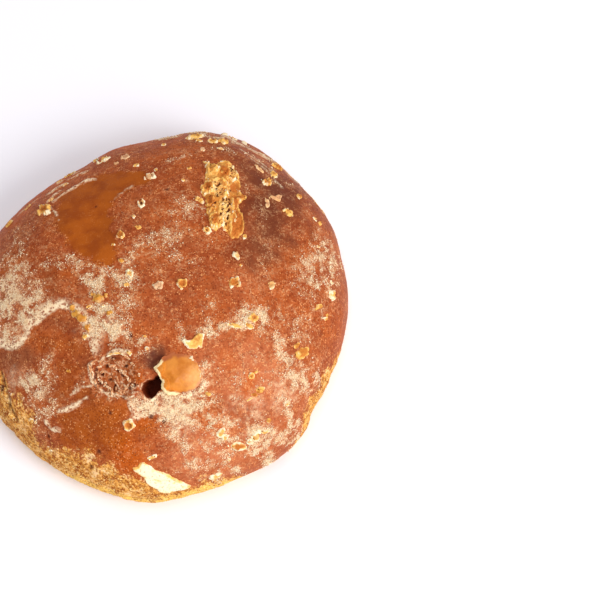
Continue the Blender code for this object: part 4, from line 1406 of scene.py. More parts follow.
@dataclass(frozen=True)
class CraterFloor:
    """Thin curled flakes left standing in the burst crater."""

    crater: Spot
    hole: Patch
    count: int = 60
    curls: tuple[Lump, ...] = (
        Lump(-16.2, -34.9, 1.8, 0.35, 0.7, 20.0, 0.55, 0.35, curl=-0.5),
        Lump(-17.5, -37.6, 2.0, 0.40, 0.8, 100.0, 0.60, 0.35, curl=0.4),
        Lump(-14.6, -36.8, 1.1, 0.45, 0.7, 10.0, 0.90, 0.40),
        Lump(-16.9, -39.6, 1.2, 0.40, 0.8, 95.0, 0.95, 0.35),
        Lump(-15.2, -39.0, 1.7, 0.35, 0.8, 115.0, 0.70, 0.35, curl=0.4),
        Lump(-16.0, -41.8, 1.1, 0.35, 0.7, 110.0, 0.60, 0.35),
        Lump(-13.5, -38.2, 0.9, 0.55, 0.7, 30.0, 0.75, 0.45),
        Lump(-14.0, -41.2, 1.3, 0.45, 0.9, 140.0, 1.00, 0.40, curl=0.5),
        Lump(-12.6, -42.2, 1.0, 0.50, 0.9, 60.0, 1.05, 0.40, curl=-0.4),
        Lump(-11.3, -43.6, 1.2, 0.45, 0.8, 140.0, 1.00, 0.40),
        Lump(-9.8, -45.1, 1.7, 0.50, 0.9, 100.0, 0.75, 0.40, curl=0.3),
        Lump(-8.4, -43.6, 1.4, 0.30, 0.8, 95.0, 0.60, 0.35),
        Lump(-9.8, -36.1, 1.2, 0.60, 0.7, 20.0, 0.75, 0.45),
        Lump(-8.6, -36.9, 0.7, 0.50, 0.6, 100.0, 0.85, 0.45),
        Lump(-6.6, -37.9, 1.2, 0.50, 0.8, 150.0, 0.85, 0.45),
        Lump(-5.2, -39.0, 0.9, 0.40, 0.7, 140.0, 0.80, 0.40),
        Lump(-3.9, -40.3, 1.0, 0.40, 0.8, 120.0, 0.95, 0.40, curl=0.4),
        Lump(-3.0, -41.9, 0.9, 0.40, 0.7, 60.0, 0.75, 0.40),
        Lump(-2.1, -43.5, 1.2, 0.55, 0.8, 150.0, 0.90, 0.45),
        Lump(-5.1, -44.8, 2.2, 0.35, 0.7, 30.0, 0.50, 0.35, curl=0.4),
        Lump(-7.2, -46.0, 1.6, 0.30, 0.6, 170.0, 0.50, 0.35),
        Lump(-1.9, -36.1, 1.1, 0.50, 0.6, 150.0, 0.60, 0.45),
        Lump(0.5, -40.2, 0.7, 0.45, 0.5, 80.0, 0.90, 0.40),
        Lump(-4.4, -33.6, 1.6, 0.55, 0.6, 150.0, 0.80, 0.40),
        Lump(-10.4, -39.8, 1.4, 0.35, 0.5, 40.0, 0.35, 0.40, curl=0.4),
        Lump(-7.8, -41.2, 1.3, 0.35, 0.5, 110.0, 0.35, 0.40, curl=-0.4),
    )

    def build(self, bed: Bed) -> bpy.types.Object:
        """Lay the curls, and draw small scraps between them."""
        rng = np.random.default_rng(43)
        litter = Litter("crater_flakes", bed, 4)
        for curl in self.curls:
            litter.add(curl)
        for _ in range(self.count):
            bearing = rng.normal(200.0, 80.0)
            radius = rng.uniform(0.2, 1.0) ** 0.6
            around = math.radians(bearing)
            scrap = Lump(
                self.crater.x + self.crater.half_length * radius * math.cos(around),
                self.crater.y + self.crater.half_width * radius * math.sin(around),
                rng.uniform(0.3, 0.8), rng.uniform(0.22, 0.40), rng.uniform(0.3, 0.5), bearing + rng.normal(90.0, 50.0),
                rng.uniform(0.1, 0.8), 0.6, curl=rng.uniform(-0.6, 0.6),
            )
            if self.hole.depth(np.array([[scrap.x, scrap.y, 0.0]]))[0] < -1.5:
                litter.add(scrap)
        return litter.build()


@dataclass(frozen=True)
class AmberCrumbs:
    """Sticky crumbs of amber syrup at the end of the cream film."""

    crumbs: tuple[Lump, ...] = (
        Lump(-24.0, -16.6, 1.5, 2.1, 1.4, 20.0, ragged=0.45),
        Lump(-21.8, -18.6, 2.2, 1.6, 1.6, 150.0, ragged=0.45),
        Lump(-25.4, -14.4, 1.0, 1.3, 0.9, 0.0, ragged=0.40),
        Lump(-15.5, -11.4, 2.1, 1.5, 1.3, 10.0, ragged=0.40),
        Lump(-12.8, -10.4, 1.0, 0.8, 0.9, 0.0, ragged=0.40),
        Lump(-17.6, -9.8, 0.9, 0.7, 0.8, 0.0, ragged=0.40),
        Lump(-11.0, -17.5, 1.3, 1.1, 1.0, 0.0, ragged=0.35),
        Lump(-19.4, -22.6, 0.9, 1.5, 0.9, 20.0, ragged=0.40),
        Lump(-26.2, -37.4, 0.9, 0.8, 0.6, 0.0, ragged=0.30),
        Lump(-7.6, 3.4, 1.2, 0.9, 0.6, 0.0, ragged=0.40),
    )

    def build(self, bed: Bed) -> bpy.types.Object:
        """Lay the crumbs."""
        litter = Litter("amber_crumbs", bed)
        for crumb in self.crumbs:
            litter.add(replace(crumb, tone=0.0))
        return litter.build()


@dataclass(frozen=True)
class Grains:
    """Grains of one kind scattered over the skin, sizes in millimetres."""

    name: str
    count: int
    smallest: float
    largest: float
    seed: int
    rounds: int = 4
    sunk: float = 0.2

    def build(self, skin: Skin, density: np.ndarray) -> bpy.types.Object:
        """Scatter the grains.

        Args:
            skin: Skin to lie on.
            density: Wanted density at each corner of the skin's mesh.

        Returns:
            The grains as one piece.
        """
        mesh = skin.surface.data
        corners = np.empty(len(mesh.vertices) * 3)
        mesh.vertices.foreach_get("co", corners)
        corners = corners.reshape(-1, 3)
        faces = np.empty(len(mesh.polygons) * 3, dtype=np.int32)
        mesh.polygons.foreach_get("vertices", faces)
        faces = faces.reshape(-1, 3)
        first, second, third = (corners[faces[:, place]] for place in range(3))
        normals = np.cross(second - first, third - first)
        areas = np.linalg.norm(normals, axis=1)
        rng = np.random.default_rng(self.seed)
        weight = areas * density[faces].mean(axis=1)
        chosen = rng.choice(len(faces), self.count, p=weight / weight.sum())
        share = np.sort(rng.random((self.count, 2)), axis=1)
        middles = first[chosen] * share[:, :1]
        middles += second[chosen] * (share[:, 1:] - share[:, :1])
        middles += third[chosen] * (1.0 - share[:, 1:])
        ups = normals[chosen] / areas[chosen][:, None]
        sizes = self.smallest + (self.largest - self.smallest) * rng.random(self.count) ** 2.5
        return self._join(rng, middles, ups, sizes * MM)

    def _crystal(self) -> bpy.types.Mesh:
        """One crystal of unit radius, with its triangles."""
        crystal = bmesh.new()
        bmesh.ops.create_uvsphere(crystal, u_segments=self.rounds, v_segments=self.rounds // 2, radius=1.0)
        bmesh.ops.triangulate(crystal, faces=crystal.faces[:])
        mesh = bpy.data.meshes.new("crystal")
        crystal.to_mesh(mesh)
        crystal.free()
        return mesh

    def _join(self, rng: np.random.Generator, middles: np.ndarray, ups: np.ndarray, sizes: np.ndarray) -> bpy.types.Object:
        """Join turned and squashed copies of the crystal.

        Args:
            rng: Source of the draws.
            middles: Place of each grain in metres.
            ups: Outward normal under each grain.
            sizes: Length of each grain in metres.

        Returns:
            The grains as one piece.
        """
        crystal = self._crystal()
        form = np.array([corner.co for corner in crystal.vertices])
        sides = np.array([face.vertices for face in crystal.polygons])
        bpy.data.meshes.remove(crystal)
        turns = np.linalg.qr(rng.normal(size=(self.count, 3, 3)))[0]
        turns *= np.sign(np.linalg.det(turns))[:, None, None]
        squash = 0.55 + 0.45 * rng.random((self.count, 1, 3))
        forms = form * (1.0 + 0.25 * rng.normal(size=(self.count, len(form), 1))) * squash
        forms = np.einsum("gci,gij->gcj", forms, turns) * sizes[:, None, None] / 2.0
        places = forms + (middles + ups * sizes[:, None] * (0.5 - self.sunk))[:, None, :]
        places[:, :, 2] = np.maximum(places[:, :, 2], 0.0)
        joined = (sides[None] + (np.arange(self.count) * len(form))[:, None, None]).reshape(-1)
        mesh = bpy.data.meshes.new(self.name)
        mesh.vertices.add(self.count * len(form))
        mesh.vertices.foreach_set("co", places.ravel())
        mesh.loops.add(len(joined))
        mesh.loops.foreach_set("vertex_index", joined.astype(np.int32))
        mesh.polygons.add(len(joined) // 3)
        mesh.polygons.foreach_set("loop_start", np.arange(0, len(joined), 3, dtype=np.int32))
        mesh.update(calc_edges=True)
        chance = np.repeat(rng.random((self.count, 3)), len(form), axis=0)
        layer = mesh.attributes.new("tint", "FLOAT_COLOR", "POINT")
        layer.data.foreach_set("color", np.column_stack((chance, np.ones(len(chance)))).ravel())
        self._unwrap(mesh, form, joined)
        piece = bpy.data.objects.new(self.name, mesh)
        bpy.context.scene.collection.objects.link(piece)
        return piece

    def _unwrap(self, mesh: bpy.types.Mesh, form: np.ndarray, joined: np.ndarray) -> None:
        """Give each grain its own small square of the map."""
        across = math.ceil(math.sqrt(self.count))
        grain, corner = np.divmod(joined, len(form))
        cell = np.stack((grain % across, grain // across), axis=1)
        layer = mesh.uv_layers.new(name="OFBake")
        spread = 0.5 + 0.4 * form[corner, :2] + 0.05 * form[corner, 2:]
        layer.data.foreach_set("uv", ((cell + spread) / across).astype(np.float32).ravel())


class Recipe:
    """One procedural material, put together node by node."""

    def __init__(self, name: str) -> None:
        """Start a material.

        Args:
            name: Name of the material.
        """
        self.material = bpy.data.materials.new(name)
        self.material.use_nodes = True
        self.tree = self.material.node_tree
        self.shader = self.tree.nodes["Principled BSDF"]
        self.place = self.tree.nodes.new("ShaderNodeTexCoord").outputs["Object"]

    def _feed(self, socket: bpy.types.NodeSocket, value: object) -> None:
        """Link a socket into another, or set a plain value on it."""
        if isinstance(value, bpy.types.NodeSocket):
            self.tree.links.new(value, socket)
        else:
            socket.default_value = value

    def grain(self, size: float, detail: float = 2.0, rough: float = 0.5, bend: float = 0.0) -> bpy.types.NodeSocket:
        """Noise whose blots are about a size in millimetres across, from 0 to 1."""
        node = self.tree.nodes.new("ShaderNodeTexNoise")
        self._feed(node.inputs["Vector"], self.place)
        node.inputs["Scale"].default_value = 1.0 / (size * MM)
        node.inputs["Detail"].default_value = detail
        node.inputs["Roughness"].default_value = rough
        node.inputs["Distortion"].default_value = bend
        return node.outputs["Fac"]

    def dots(self, size: float, jitter: float = 1.0) -> bpy.types.NodeSocket:
        """Distance to the nearest of scattered dots about a size in millimetres apart."""
        node = self.tree.nodes.new("ShaderNodeTexVoronoi")
        self._feed(node.inputs["Vector"], self.place)
        node.inputs["Scale"].default_value = 1.0 / (size * MM)
        node.inputs["Randomness"].default_value = jitter
        return node.outputs["Distance"]

    def flecks(self, size: float, share: object, reach: float = 0.44) -> bpy.types.NodeSocket:
        """Small round specks about a size in millimetres apart, kept only on a share of their places."""
        node = self.tree.nodes.new("ShaderNodeTexVoronoi")
        self._feed(node.inputs["Vector"], self.place)
        node.inputs["Scale"].default_value = 1.0 / (size * MM)
        split = self.tree.nodes.new("ShaderNodeSeparateColor")
        self._feed(split.inputs["Color"], node.outputs["Color"])
        kept = self.rise(split.outputs["Red"], self.sum("SUBTRACT", 1.0, share), self.sum("SUBTRACT", 1.04, share))
        return self.sum("MULTIPLY", kept, self.rise(node.outputs["Distance"], reach, 0.6 * reach))

    def sum(self, operation: str, *values: object) -> bpy.types.NodeSocket:
        """Result of a maths operation on sockets or numbers."""
        node = self.tree.nodes.new("ShaderNodeMath")
        node.operation = operation
        for socket, value in zip(node.inputs, values):
            self._feed(socket, value)
        return node.outputs["Value"]

    def rise(self, value: object, low: object, high: object, top: float = 1.0) -> bpy.types.NodeSocket:
        """Smooth rise from 0 at a low value to a top at a high one."""
        node = self.tree.nodes.new("ShaderNodeMapRange")
        node.interpolation_type = "SMOOTHSTEP"
        self._feed(node.inputs["Value"], value)
        self._feed(node.inputs["From Min"], low)
        self._feed(node.inputs["From Max"], high)
        node.inputs["To Max"].default_value = top
        return node.outputs["Result"]

    def blend(self, share: object, first: object, second: object) -> bpy.types.NodeSocket:
        """Mix of two colours, from the first at 0 to the second at 1."""
        node = self.tree.nodes.new("ShaderNodeMix")
        node.data_type = "RGBA"
        self._feed(node.inputs["Factor"], share)
        first_colour, second_colour = (socket for socket in node.inputs if socket.type == "RGBA")
        self._feed(first_colour, first)
        self._feed(second_colour, second)
        return next(socket for socket in node.outputs if socket.type == "RGBA")

    def masks(self, name: str) -> list[bpy.types.NodeSocket]:
        """Four masks that the mesh carries under a name."""
        node = self.tree.nodes.new("ShaderNodeAttribute")
        node.attribute_name = name
        split = self.tree.nodes.new("ShaderNodeSeparateColor")
        self._feed(split.inputs["Color"], node.outputs["Color"])
        return [*split.outputs, node.outputs["Alpha"]]

    def bump(self, height: object, depth: float, strength: float = 1.0) -> None:
        """Add relief that is a depth in millimetres high."""
        node = self.tree.nodes.new("ShaderNodeBump")
        node.inputs["Distance"].default_value = depth * MM
        node.inputs["Strength"].default_value = strength
        self._feed(node.inputs["Height"], height)
        self._feed(self.shader.inputs["Normal"], node.outputs["Normal"])

    def finish(self, colour: object, roughness: object, **fixed: float) -> bpy.types.Material:
        """Set the shader and hand over the material.

        Args:
            colour: Base colour, a socket or a colour.
            roughness: Roughness, a socket or a number.
            **fixed: Further plain values, by the socket's name with _ for a space.

        Returns:
            The finished material.
        """
        self._feed(self.shader.inputs["Base Color"], colour)
        self._feed(self.shader.inputs["Roughness"], roughness)
        for name, value in fixed.items():
            self.shader.inputs[name.replace("_", " ")].default_value = value
        return self.material


@dataclass(frozen=True)
class SkinFinish:
    """Set brown skin with amber, orange, mauve and rosy fields, cream bloom and ochre crust, with painted light and
    shade: a rosy sheen, an orange rim glow, and shade in the dent, pits, gaps and right of the scab.
    """

    brown: tuple = srgb(176, 86, 38)
    red_brown: tuple = srgb(148, 65, 30)
    deep_brown: tuple = srgb(112, 44, 18)
    light_brown: tuple = srgb(210, 126, 78)
    glint: tuple = srgb(232, 158, 98)
    amber: tuple = srgb(172, 86, 16)
    deep_amber: tuple = srgb(146, 66, 12)
    orange: tuple = srgb(186, 84, 12)
    mauve_and_shadow: tuple = srgb(156, 88, 54)
    # Colour of the painted pink sheen of the key light.
    rosy_sheen: tuple = srgb(190, 106, 66)
    thin_dust: tuple = srgb(226, 172, 122)
    cream: tuple = srgb(255, 232, 190)
    haze: tuple = srgb(190, 128, 92)
    film: tuple = srgb(254, 231, 190)
    ochre: tuple = srgb(238, 172, 80)
    lip: tuple = srgb(254, 204, 98)
    crumb: tuple = srgb(255, 222, 146)
    crust_brown: tuple = srgb(150, 72, 22)
    # Colour of the painted shade in the dent, pits, crease and crater gaps.
    shaded_dent: tuple = srgb(92, 44, 32)
    # Colour of dusky skin and of painted shadow.
    dusky_and_shadow: tuple = srgb(98, 44, 26)
    # Colour of the painted shade inside the burst hole.
    shaded_pit: tuple = srgb(104, 38, 16)
    crater: tuple = srgb(158, 84, 38)
    dust_contrast: float = 3.6
    fleck_contrast: float = 4.5

    def make(self) -> bpy.types.Material:
        """Build the material."""
        recipe = Recipe("set jaggery skin")
        speck, soft = self._speckle(recipe)
        amber = recipe.masks("tones")[0]
        plain = recipe.sum("SUBTRACT", 1.0, recipe.rise(amber, 0.55, 1.0, 0.85))
        base = self._base(recipe, soft, plain)
        bloom, film, crust, hole = recipe.masks("marks")
        lip, dusky_and_shadow, crater, shaded_dent = recipe.masks("edges")
        # Dusky skin, and painted shadow right of the scab and in the dent.
        base = recipe.blend(recipe.sum("MULTIPLY", dusky_and_shadow, 0.84), base, self.dusky_and_shadow)
        base = recipe.blend(recipe.sum("MULTIPLY", crater, 0.6), base, self.crater)
        base = recipe.blend(recipe.rise(bloom, 0.20, 1.0, 0.55), base, self.haze)
        grainy = recipe.sum("MULTIPLY", recipe.sum("SUBTRACT", speck, 0.5), self.dust_contrast)
        grainy = recipe.sum("MULTIPLY", grainy, recipe.rise(bloom, 0.0, 0.15))
        dusted = recipe.rise(recipe.sum("ADD", recipe.sum("MULTIPLY", bloom, 1.15), grainy), 0.18, 1.10)
        dusted = recipe.sum("MULTIPLY", dusted, recipe.sum("ADD", 0.50, recipe.sum("MULTIPLY", bloom, 0.40)))
        powder = recipe.flecks(0.58, recipe.sum("MULTIPLY", bloom, 0.85), 0.56)
        powder = recipe.sum("MULTIPLY", powder, recipe.sum("ADD", 0.18, recipe.sum("MULTIPLY", bloom, 0.75)))
        dusted = recipe.sum("MAXIMUM", dusted, powder)
        dust = recipe.blend(recipe.rise(dusted, 0.35, 0.85), self.thin_dust, self.cream)
        colour = recipe.blend(dusted, base, dust)
        filmed = recipe.sum("MULTIPLY", film, recipe.rise(speck, 0.34, 0.58, 0.92))
        colour = recipe.blend(filmed, colour, self.film)
        porous = recipe.rise(recipe.sum("MAXIMUM", bloom, film), 0.26, 0.80, 0.86)
        pores = recipe.sum("MULTIPLY", recipe.flecks(0.92, 0.56), porous)
        colour = recipe.blend(pores, colour, self.red_brown)
        ragged = recipe.sum("MULTIPLY", recipe.sum("SUBTRACT", speck, 0.5), 3.0)
        baked = recipe.rise(recipe.sum("ADD", recipe.sum("MULTIPLY", crust, 1.5), ragged), 0.45, 1.05, 0.95)
        colour = recipe.blend(baked, colour, self._crust(recipe, speck, lip, dusted))
        # Painted shade in the dent, the pits, the crease and between the crater's curls.
        colour = recipe.blend(recipe.sum("MULTIPLY", shaded_dent, 0.88), colour, self.shaded_dent)
        # Painted shade inside the burst hole: a dark colour on top of its real depth.
        colour = recipe.blend(hole, colour, self.shaded_pit)
        dull = recipe.sum("ADD", 0.48, recipe.sum("MULTIPLY", dusted, 0.30))
        dull = recipe.sum("ADD", dull, recipe.sum("MULTIPLY", crust, 0.22))
        height = recipe.sum("ADD", recipe.sum("MULTIPLY", soft, plain), recipe.sum("MULTIPLY", dusted, 0.8))
        recipe.bump(height, 0.25, 0.8)
        return recipe.finish(colour, dull, Specular_IOR_Level=0.06)

    def _speckle(self, recipe: Recipe) -> tuple[bpy.types.NodeSocket, bpy.types.NodeSocket]:
        """Sharp dust speckle, and softer speckle of the skin itself, both about 0.5 on average."""
        fine = recipe.grain(1.6, 3.0, 0.7, 0.4)
        dust = recipe.grain(0.95, 2.0, 0.6)
        mottle = recipe.grain(4.5, 4.0, 0.65)
        sharp = recipe.sum("ADD", recipe.sum("MULTIPLY", fine, 0.55), recipe.sum("MULTIPLY", dust, 0.45))
        sharp = recipe.sum("ADD", sharp, recipe.sum("MULTIPLY", recipe.sum("SUBTRACT", mottle, 0.5), 0.2))
        flecks = recipe.grain(1.7, 4.0, 0.8)
        soft = recipe.sum("ADD", recipe.sum("MULTIPLY", flecks, 0.75), recipe.sum("MULTIPLY", mottle, 0.25))
        return sharp, soft

    def _base(self, recipe: Recipe, soft: object, plain: object) -> bpy.types.NodeSocket:
        """Colour of the bare skin.

        Args:
            recipe: Material in hand.
            soft: Speckle of the skin.
            plain: Share of the surface that isn't smooth amber.

        Returns:
            The colour socket.
        """
        amber, orange, mauve_and_shadow, rosy_sheen = recipe.masks("tones")
        cloud = recipe.grain(10.0, 4.0, 0.6)
        base = recipe.blend(recipe.rise(cloud, 0.36, 0.58, 0.75), self.brown, self.red_brown)
        base = recipe.blend(recipe.rise(recipe.grain(17.0, 3.0, 0.6), 0.48, 0.64, 0.3), base, self.mauve_and_shadow)
        # Painted sheen: the rosy field lightens and pinks the skin where the key light's sheen falls.
        base = recipe.blend(recipe.sum("MULTIPLY", rosy_sheen, 0.9), base, self.rosy_sheen)
        # Mauve skin, and painted shadow right of the scab and in the dent.
        base = recipe.blend(recipe.sum("MULTIPLY", mauve_and_shadow, 0.85), base, self.mauve_and_shadow)
        # Orange skin, and a painted glow of light through the thin edge along the upper-left and back rim.
        base = recipe.blend(recipe.sum("MULTIPLY", orange, 0.85), base, self.orange)
        warm = recipe.blend(recipe.rise(recipe.grain(6.0, 3.0), 0.3, 0.65), self.deep_amber, self.amber)
        base = recipe.blend(recipe.sum("MULTIPLY", amber, 0.9), base, warm)
        swing = recipe.sum("MULTIPLY", recipe.sum("SUBTRACT", soft, 0.5), self.fleck_contrast)
        swing = recipe.sum("MULTIPLY", swing, plain)
        base = recipe.blend(recipe.rise(swing, 0.0, 1.0, 0.9), base, self.light_brown)
        base = recipe.blend(recipe.rise(recipe.sum("MULTIPLY", swing, -1.0), 0.0, 1.0, 0.9), base, self.deep_brown)
        rough = recipe.sum("SUBTRACT", 1.0, recipe.rise(amber, 0.68, 0.98, 0.95))
        bunched = recipe.rise(recipe.grain(3.2, 3.0, 0.65), 0.42, 0.62)
        glint = recipe.sum("MULTIPLY", recipe.flecks(0.72, 0.62), recipe.sum("MULTIPLY", rough, bunched))
        base = recipe.blend(recipe.sum("MULTIPLY", glint, 0.86), base, self.glint)
        pitted = recipe.sum("MULTIPLY", recipe.flecks(0.84, 0.5), rough)
        pitted = recipe.sum("MULTIPLY", pitted, recipe.sum("SUBTRACT", 0.7, recipe.sum("MULTIPLY", rosy_sheen, 0.5)))
        return recipe.blend(pitted, base, self.deep_brown)

    def _crust(self, recipe: Recipe, speck: object, lip: object, dusted: object) -> bpy.types.NodeSocket:
        """Colour of the ochre crust round the rim.

        Args:
            recipe: Material in hand.
            speck: Dust speckle.
            lip: Share of the clean yellow lip along the foot.
            dusted: Share that is under dust.

        Returns:
            The colour socket.
        """
        patches = recipe.grain(4.5, 3.0, 0.6)
        mixed = recipe.sum("ADD", recipe.sum("MULTIPLY", speck, 0.75), recipe.sum("MULTIPLY", patches, 0.25))
        baked = recipe.blend(recipe.rise(mixed, 0.40, 0.58), self.crust_brown, self.ochre)
        pale = recipe.sum("MULTIPLY", recipe.rise(patches, 0.50, 0.68), recipe.rise(speck, 0.44, 0.60, 0.6))
        baked = recipe.blend(pale, baked, self.cream)
        clean = recipe.sum("MULTIPLY", recipe.rise(lip, 0.1, 0.8), recipe.rise(speck, 0.36, 0.54))
        baked = recipe.blend(clean, baked, self.lip)
        baked = recipe.blend(recipe.sum("MULTIPLY", recipe.flecks(1.1, 0.5), 0.8), baked, self.crumb)
        holed = recipe.sum("MULTIPLY", recipe.flecks(1.2, 0.5), recipe.sum("SUBTRACT", 0.75, recipe.sum("MULTIPLY", lip, 0.4)))
        baked = recipe.blend(holed, baked, self.crust_brown)
        return recipe.blend(recipe.sum("MULTIPLY", dusted, 0.3), baked, self.cream)


@dataclass(frozen=True)
class CrustFinish:
    """Dry froth: ochre to cream by its tone, brown-yellow where smooth, and dark with painted shade in its pores and
    gaps.
    """

    name: str = "dry froth crust"
    ochre: tuple = srgb(206, 132, 56)
    cream: tuple = srgb(248, 194, 102)
    white: tuple = srgb(252, 238, 200)
    smooth: tuple = srgb(190, 106, 40)
    # Colour of the painted shade in pores and gaps.
    shaded_pore: tuple = srgb(96, 42, 14)
    dusty: tuple = srgb(236, 196, 158)

    def make(self) -> bpy.types.Material:
        """Build the material."""
        recipe = Recipe(self.name)
        smooth, pores, tone, dusty = recipe.masks("tint")
        speck = recipe.grain(0.8, 3.0, 0.65)
        patch = recipe.grain(2.4, 3.0, 0.6)
        shown = recipe.sum("ADD", tone, recipe.sum("MULTIPLY", recipe.sum("SUBTRACT", patch, 0.5), 1.2))
        colour = recipe.blend(recipe.rise(shown, 0.15, 0.65), self.ochre, self.cream)
        colour = recipe.blend(recipe.sum("MULTIPLY", dusty, 0.9), colour, self.dusty)
        colour = recipe.blend(recipe.rise(shown, 0.70, 1.10), colour, self.white)
        shine = recipe.sum("MULTIPLY", smooth, recipe.rise(speck, 0.22, 0.42))
        colour = recipe.blend(shine, colour, self.smooth)
        colour = recipe.blend(recipe.rise(recipe.sum("SUBTRACT", 1.0, speck), 0.54, 0.70, 0.7), colour, self.ochre)
        # Painted shade in the pores and gaps that the tint marks.
        colour = recipe.blend(recipe.rise(pores, 0.30, 0.80), colour, self.shaded_pore)
        recipe.bump(speck, 0.25, 0.8)
        return recipe.finish(colour, 0.72, Specular_IOR_Level=0.15)


@dataclass(frozen=True)
class AmberFinish:
    """Clear set syrup: bright orange, paler and creamier where it is broken, with painted light making it lighter and
    rosier on the side towards the key light.
    """

    name: str = "amber syrup glaze"
    thick: tuple = srgb(190, 108, 26)
    thin: tuple = srgb(214, 132, 44)
    # Colour of the painted light on the side towards the key light.
    light: tuple = srgb(234, 170, 96)
    broken: tuple = srgb(246, 220, 166)
    skin: tuple = srgb(166, 84, 42)
    rosy_sheen: tuple = srgb(202, 128, 86)

    def make(self) -> bpy.types.Material:
        """Build the material."""
        recipe = Recipe(self.name)
        merged, low, pale, light = recipe.masks("tint")
        cloud = recipe.grain(5.0, 3.0, 0.55)
        streak = recipe.grain(1.4, 2.0, 0.5)
        colour = recipe.blend(recipe.rise(cloud, 0.34, 0.60), self.thick, self.thin)
        colour = recipe.blend(recipe.sum("MULTIPLY", low, 0.35), colour, self.thick)
        colour = recipe.blend(recipe.rise(streak, 0.55, 0.8, 0.3), colour, self.thin)
        # Painted highlight: the light mask lightens the shell on its lit side, and pinks its merged edge there.
        lit = recipe.sum("MULTIPLY", light, recipe.rise(cloud, 0.25, 0.60, 0.85))
        colour = recipe.blend(lit, colour, self.light)
        edge = recipe.blend(light, self.skin, self.rosy_sheen)
        colour = recipe.blend(recipe.sum("MULTIPLY", merged, 0.9), colour, edge)
        colour = recipe.blend(pale, colour, self.broken)
        recipe.bump(streak, 0.15, 0.5)
        return recipe.finish(colour, 0.42, Specular_IOR_Level=0.25)


@dataclass(frozen=True)
class SugarFinish:
    """Dry pale sugar whose grains differ a little from each other."""

    name: str
    dark: tuple
    light: tuple

    def make(self) -> bpy.types.Material:
        """Build the material."""
        recipe = Recipe(self.name)
        chance = recipe.masks("tint")[0]
        speck = recipe.grain(1.2, 2.0, 0.6)
        share = recipe.sum("ADD", recipe.sum("MULTIPLY", chance, 0.7), recipe.sum("MULTIPLY", speck, 0.3))
        colour = recipe.blend(recipe.rise(share, 0.15, 0.75), self.dark, self.light)
        return recipe.finish(colour, 0.6, Specular_IOR_Level=0.2)


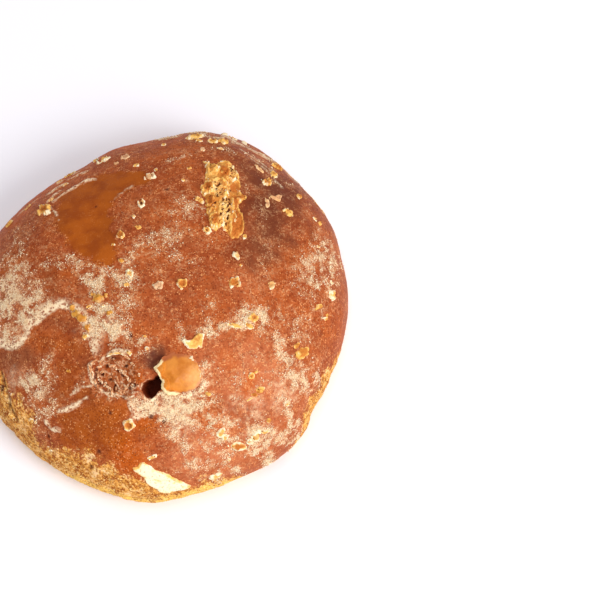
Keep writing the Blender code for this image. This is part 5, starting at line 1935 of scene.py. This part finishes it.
class Studio:
    """White table, soft lights and the camera."""

    def __init__(self, casting: Casting) -> None:
        """Take the form that the camera frames."""
        self.casting = casting

    def build(self) -> None:
        """Set up the table, the lights, the world and the camera."""
        self._table()
        self._lights()
        self._camera()

    def _table(self) -> None:
        """Wide white table top."""
        top = bmesh.new()
        bmesh.ops.create_grid(top, x_segments=2, y_segments=2, size=3.0)
        mesh = bpy.data.meshes.new("table")
        top.to_mesh(mesh)
        top.free()
        recipe = Recipe("white table")
        mesh.materials.append(recipe.finish(srgb(250, 248, 252), 0.9, Specular_IOR_Level=0.1))
        table = bpy.data.objects.new("table", mesh)
        bpy.context.scene.collection.objects.link(table)

    def _softbox(self, name: str, bearing: float, tilt: float, distance: float, size: float, power: float) -> None:
        """Square soft light that faces the block.

        Args:
            name: Name of the light.
            bearing: Direction it stands in, in degrees from +X towards +Y.
            tilt: Height above the horizon in degrees.
            distance: Distance from the block in metres.
            size: Side of the square in metres.
            power: Power in watts.
        """
        light = bpy.data.lights.new(name, "AREA")
        light.shape = "SQUARE"
        light.size = size
        light.energy = power
        lamp = bpy.data.objects.new(name, light)
        bearing, tilt = math.radians(bearing), math.radians(tilt)
        away = Vector((
            math.cos(tilt) * math.cos(bearing),
            math.cos(tilt) * math.sin(bearing),
            math.sin(tilt),
        ))
        lamp.location = away * distance
        lamp.rotation_euler = away.to_track_quat("Z", "Y").to_euler()
        bpy.context.scene.collection.objects.link(lamp)

    def _lights(self) -> None:
        """Large soft key from the right front, an overhead fill and a white surround."""
        self._softbox("key", -33.0, 40.0, 1.1, 0.5, 7.4)
        self._softbox("front", -66.0, 28.0, 1.2, 0.8, 2.6)
        self._softbox("overhead", 100.0, 80.0, 1.3, 1.0, 3.8)
        world = bpy.data.worlds.new("white room")
        world.use_nodes = True
        surround = world.node_tree.nodes["Background"]
        surround.inputs["Color"].default_value = (0.97, 0.955, 1.0, 1.0)
        surround.inputs["Strength"].default_value = 0.57
        bpy.context.scene.world = world
        bpy.context.scene.view_settings.view_transform = "Standard"

    def _camera(self) -> None:
        """Long lens looking steeply down, with the block in the left of the frame."""
        lens = bpy.data.cameras.new("camera")
        lens.lens = 80.0
        lens.sensor_width = 36.0
        eye = bpy.data.objects.new("camera", lens)
        tilt = math.radians(68.0)
        back = Vector((0.0, -math.cos(tilt), math.sin(tilt)))
        aim = Vector((0.0583, 0.0078, 0.0))
        eye.location = aim + back * 0.553
        eye.rotation_euler = back.to_track_quat("Z", "Y").to_euler()
        bpy.context.scene.collection.objects.link(eye)
        bpy.context.scene.camera = eye


def add_piece(piece: bpy.types.Object, material: bpy.types.Material) -> None:
    """Dress a piece and join it to the block.

    Args:
        piece: Finished piece.
        material: Material to wear.
    """
    piece.data.materials.append(material)
    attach(piece, BODY)
    LOG.info("%s: %d faces", piece.name, len(piece.data.polygons))


def main() -> None:
    """Build every part of the dressed block."""
    logging.basicConfig(level=logging.INFO, format="%(name)s %(message)s")
    casting = Casting()
    skin = Skin(casting, SkinMarks())
    Studio(casting).build()
    surface = skin.build()
    add_piece(surface, SkinFinish().make())
    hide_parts(BLOCK)
    bed = Bed(skin)
    crust = CrustFinish().make()
    add_piece(Scab(bed).build(), crust)
    add_piece(Blister(bed).build(), AmberFinish().make())
    pale_chip = Litter("pale_chip", bed)
    PALE_CHIP.lay(pale_chip, 6)
    add_piece(pale_chip.build(), crust)
    add_piece(Froth().build(bed), crust)
    curled = CrustFinish("curled froth", srgb(186, 112, 68), srgb(224, 170, 122), srgb(248, 224, 186))
    add_piece(CraterFloor(skin.marks.crater, skin.marks.hole).build(bed), curled.make())
    sticky = AmberFinish("sticky amber crumbs", srgb(196, 118, 26), srgb(222, 158, 60), skin=srgb(180, 104, 30))
    add_piece(AmberCrumbs().build(bed), sticky.make())
    open_skin = 1.0 - skin.shares["near_hole"]
    dust = Grains("bloom_grains", 24500, 0.26, 0.78, 5)
    add_piece(
        dust.build(skin, np.clip(skin.shares["bloom"] - 0.25, 0.0, 1.0) ** 1.5 * open_skin),
        SugarFinish("sugar bloom", srgb(228, 186, 138), srgb(255, 238, 204)).make(),
    )
    crumbs = Grains("rim_crumbs", 20000, 0.18, 0.45, 7, 4, 0.35)
    add_piece(
        crumbs.build(skin, skin.shares["crust"] ** 2 * (0.7 + 0.3 * skin.shares["lip"]) * (skin.height_above > 2.5)),
        SugarFinish("rim crumbs", srgb(214, 140, 56), srgb(255, 222, 140)).make(),
    )


if __name__ == "__main__":
    main()
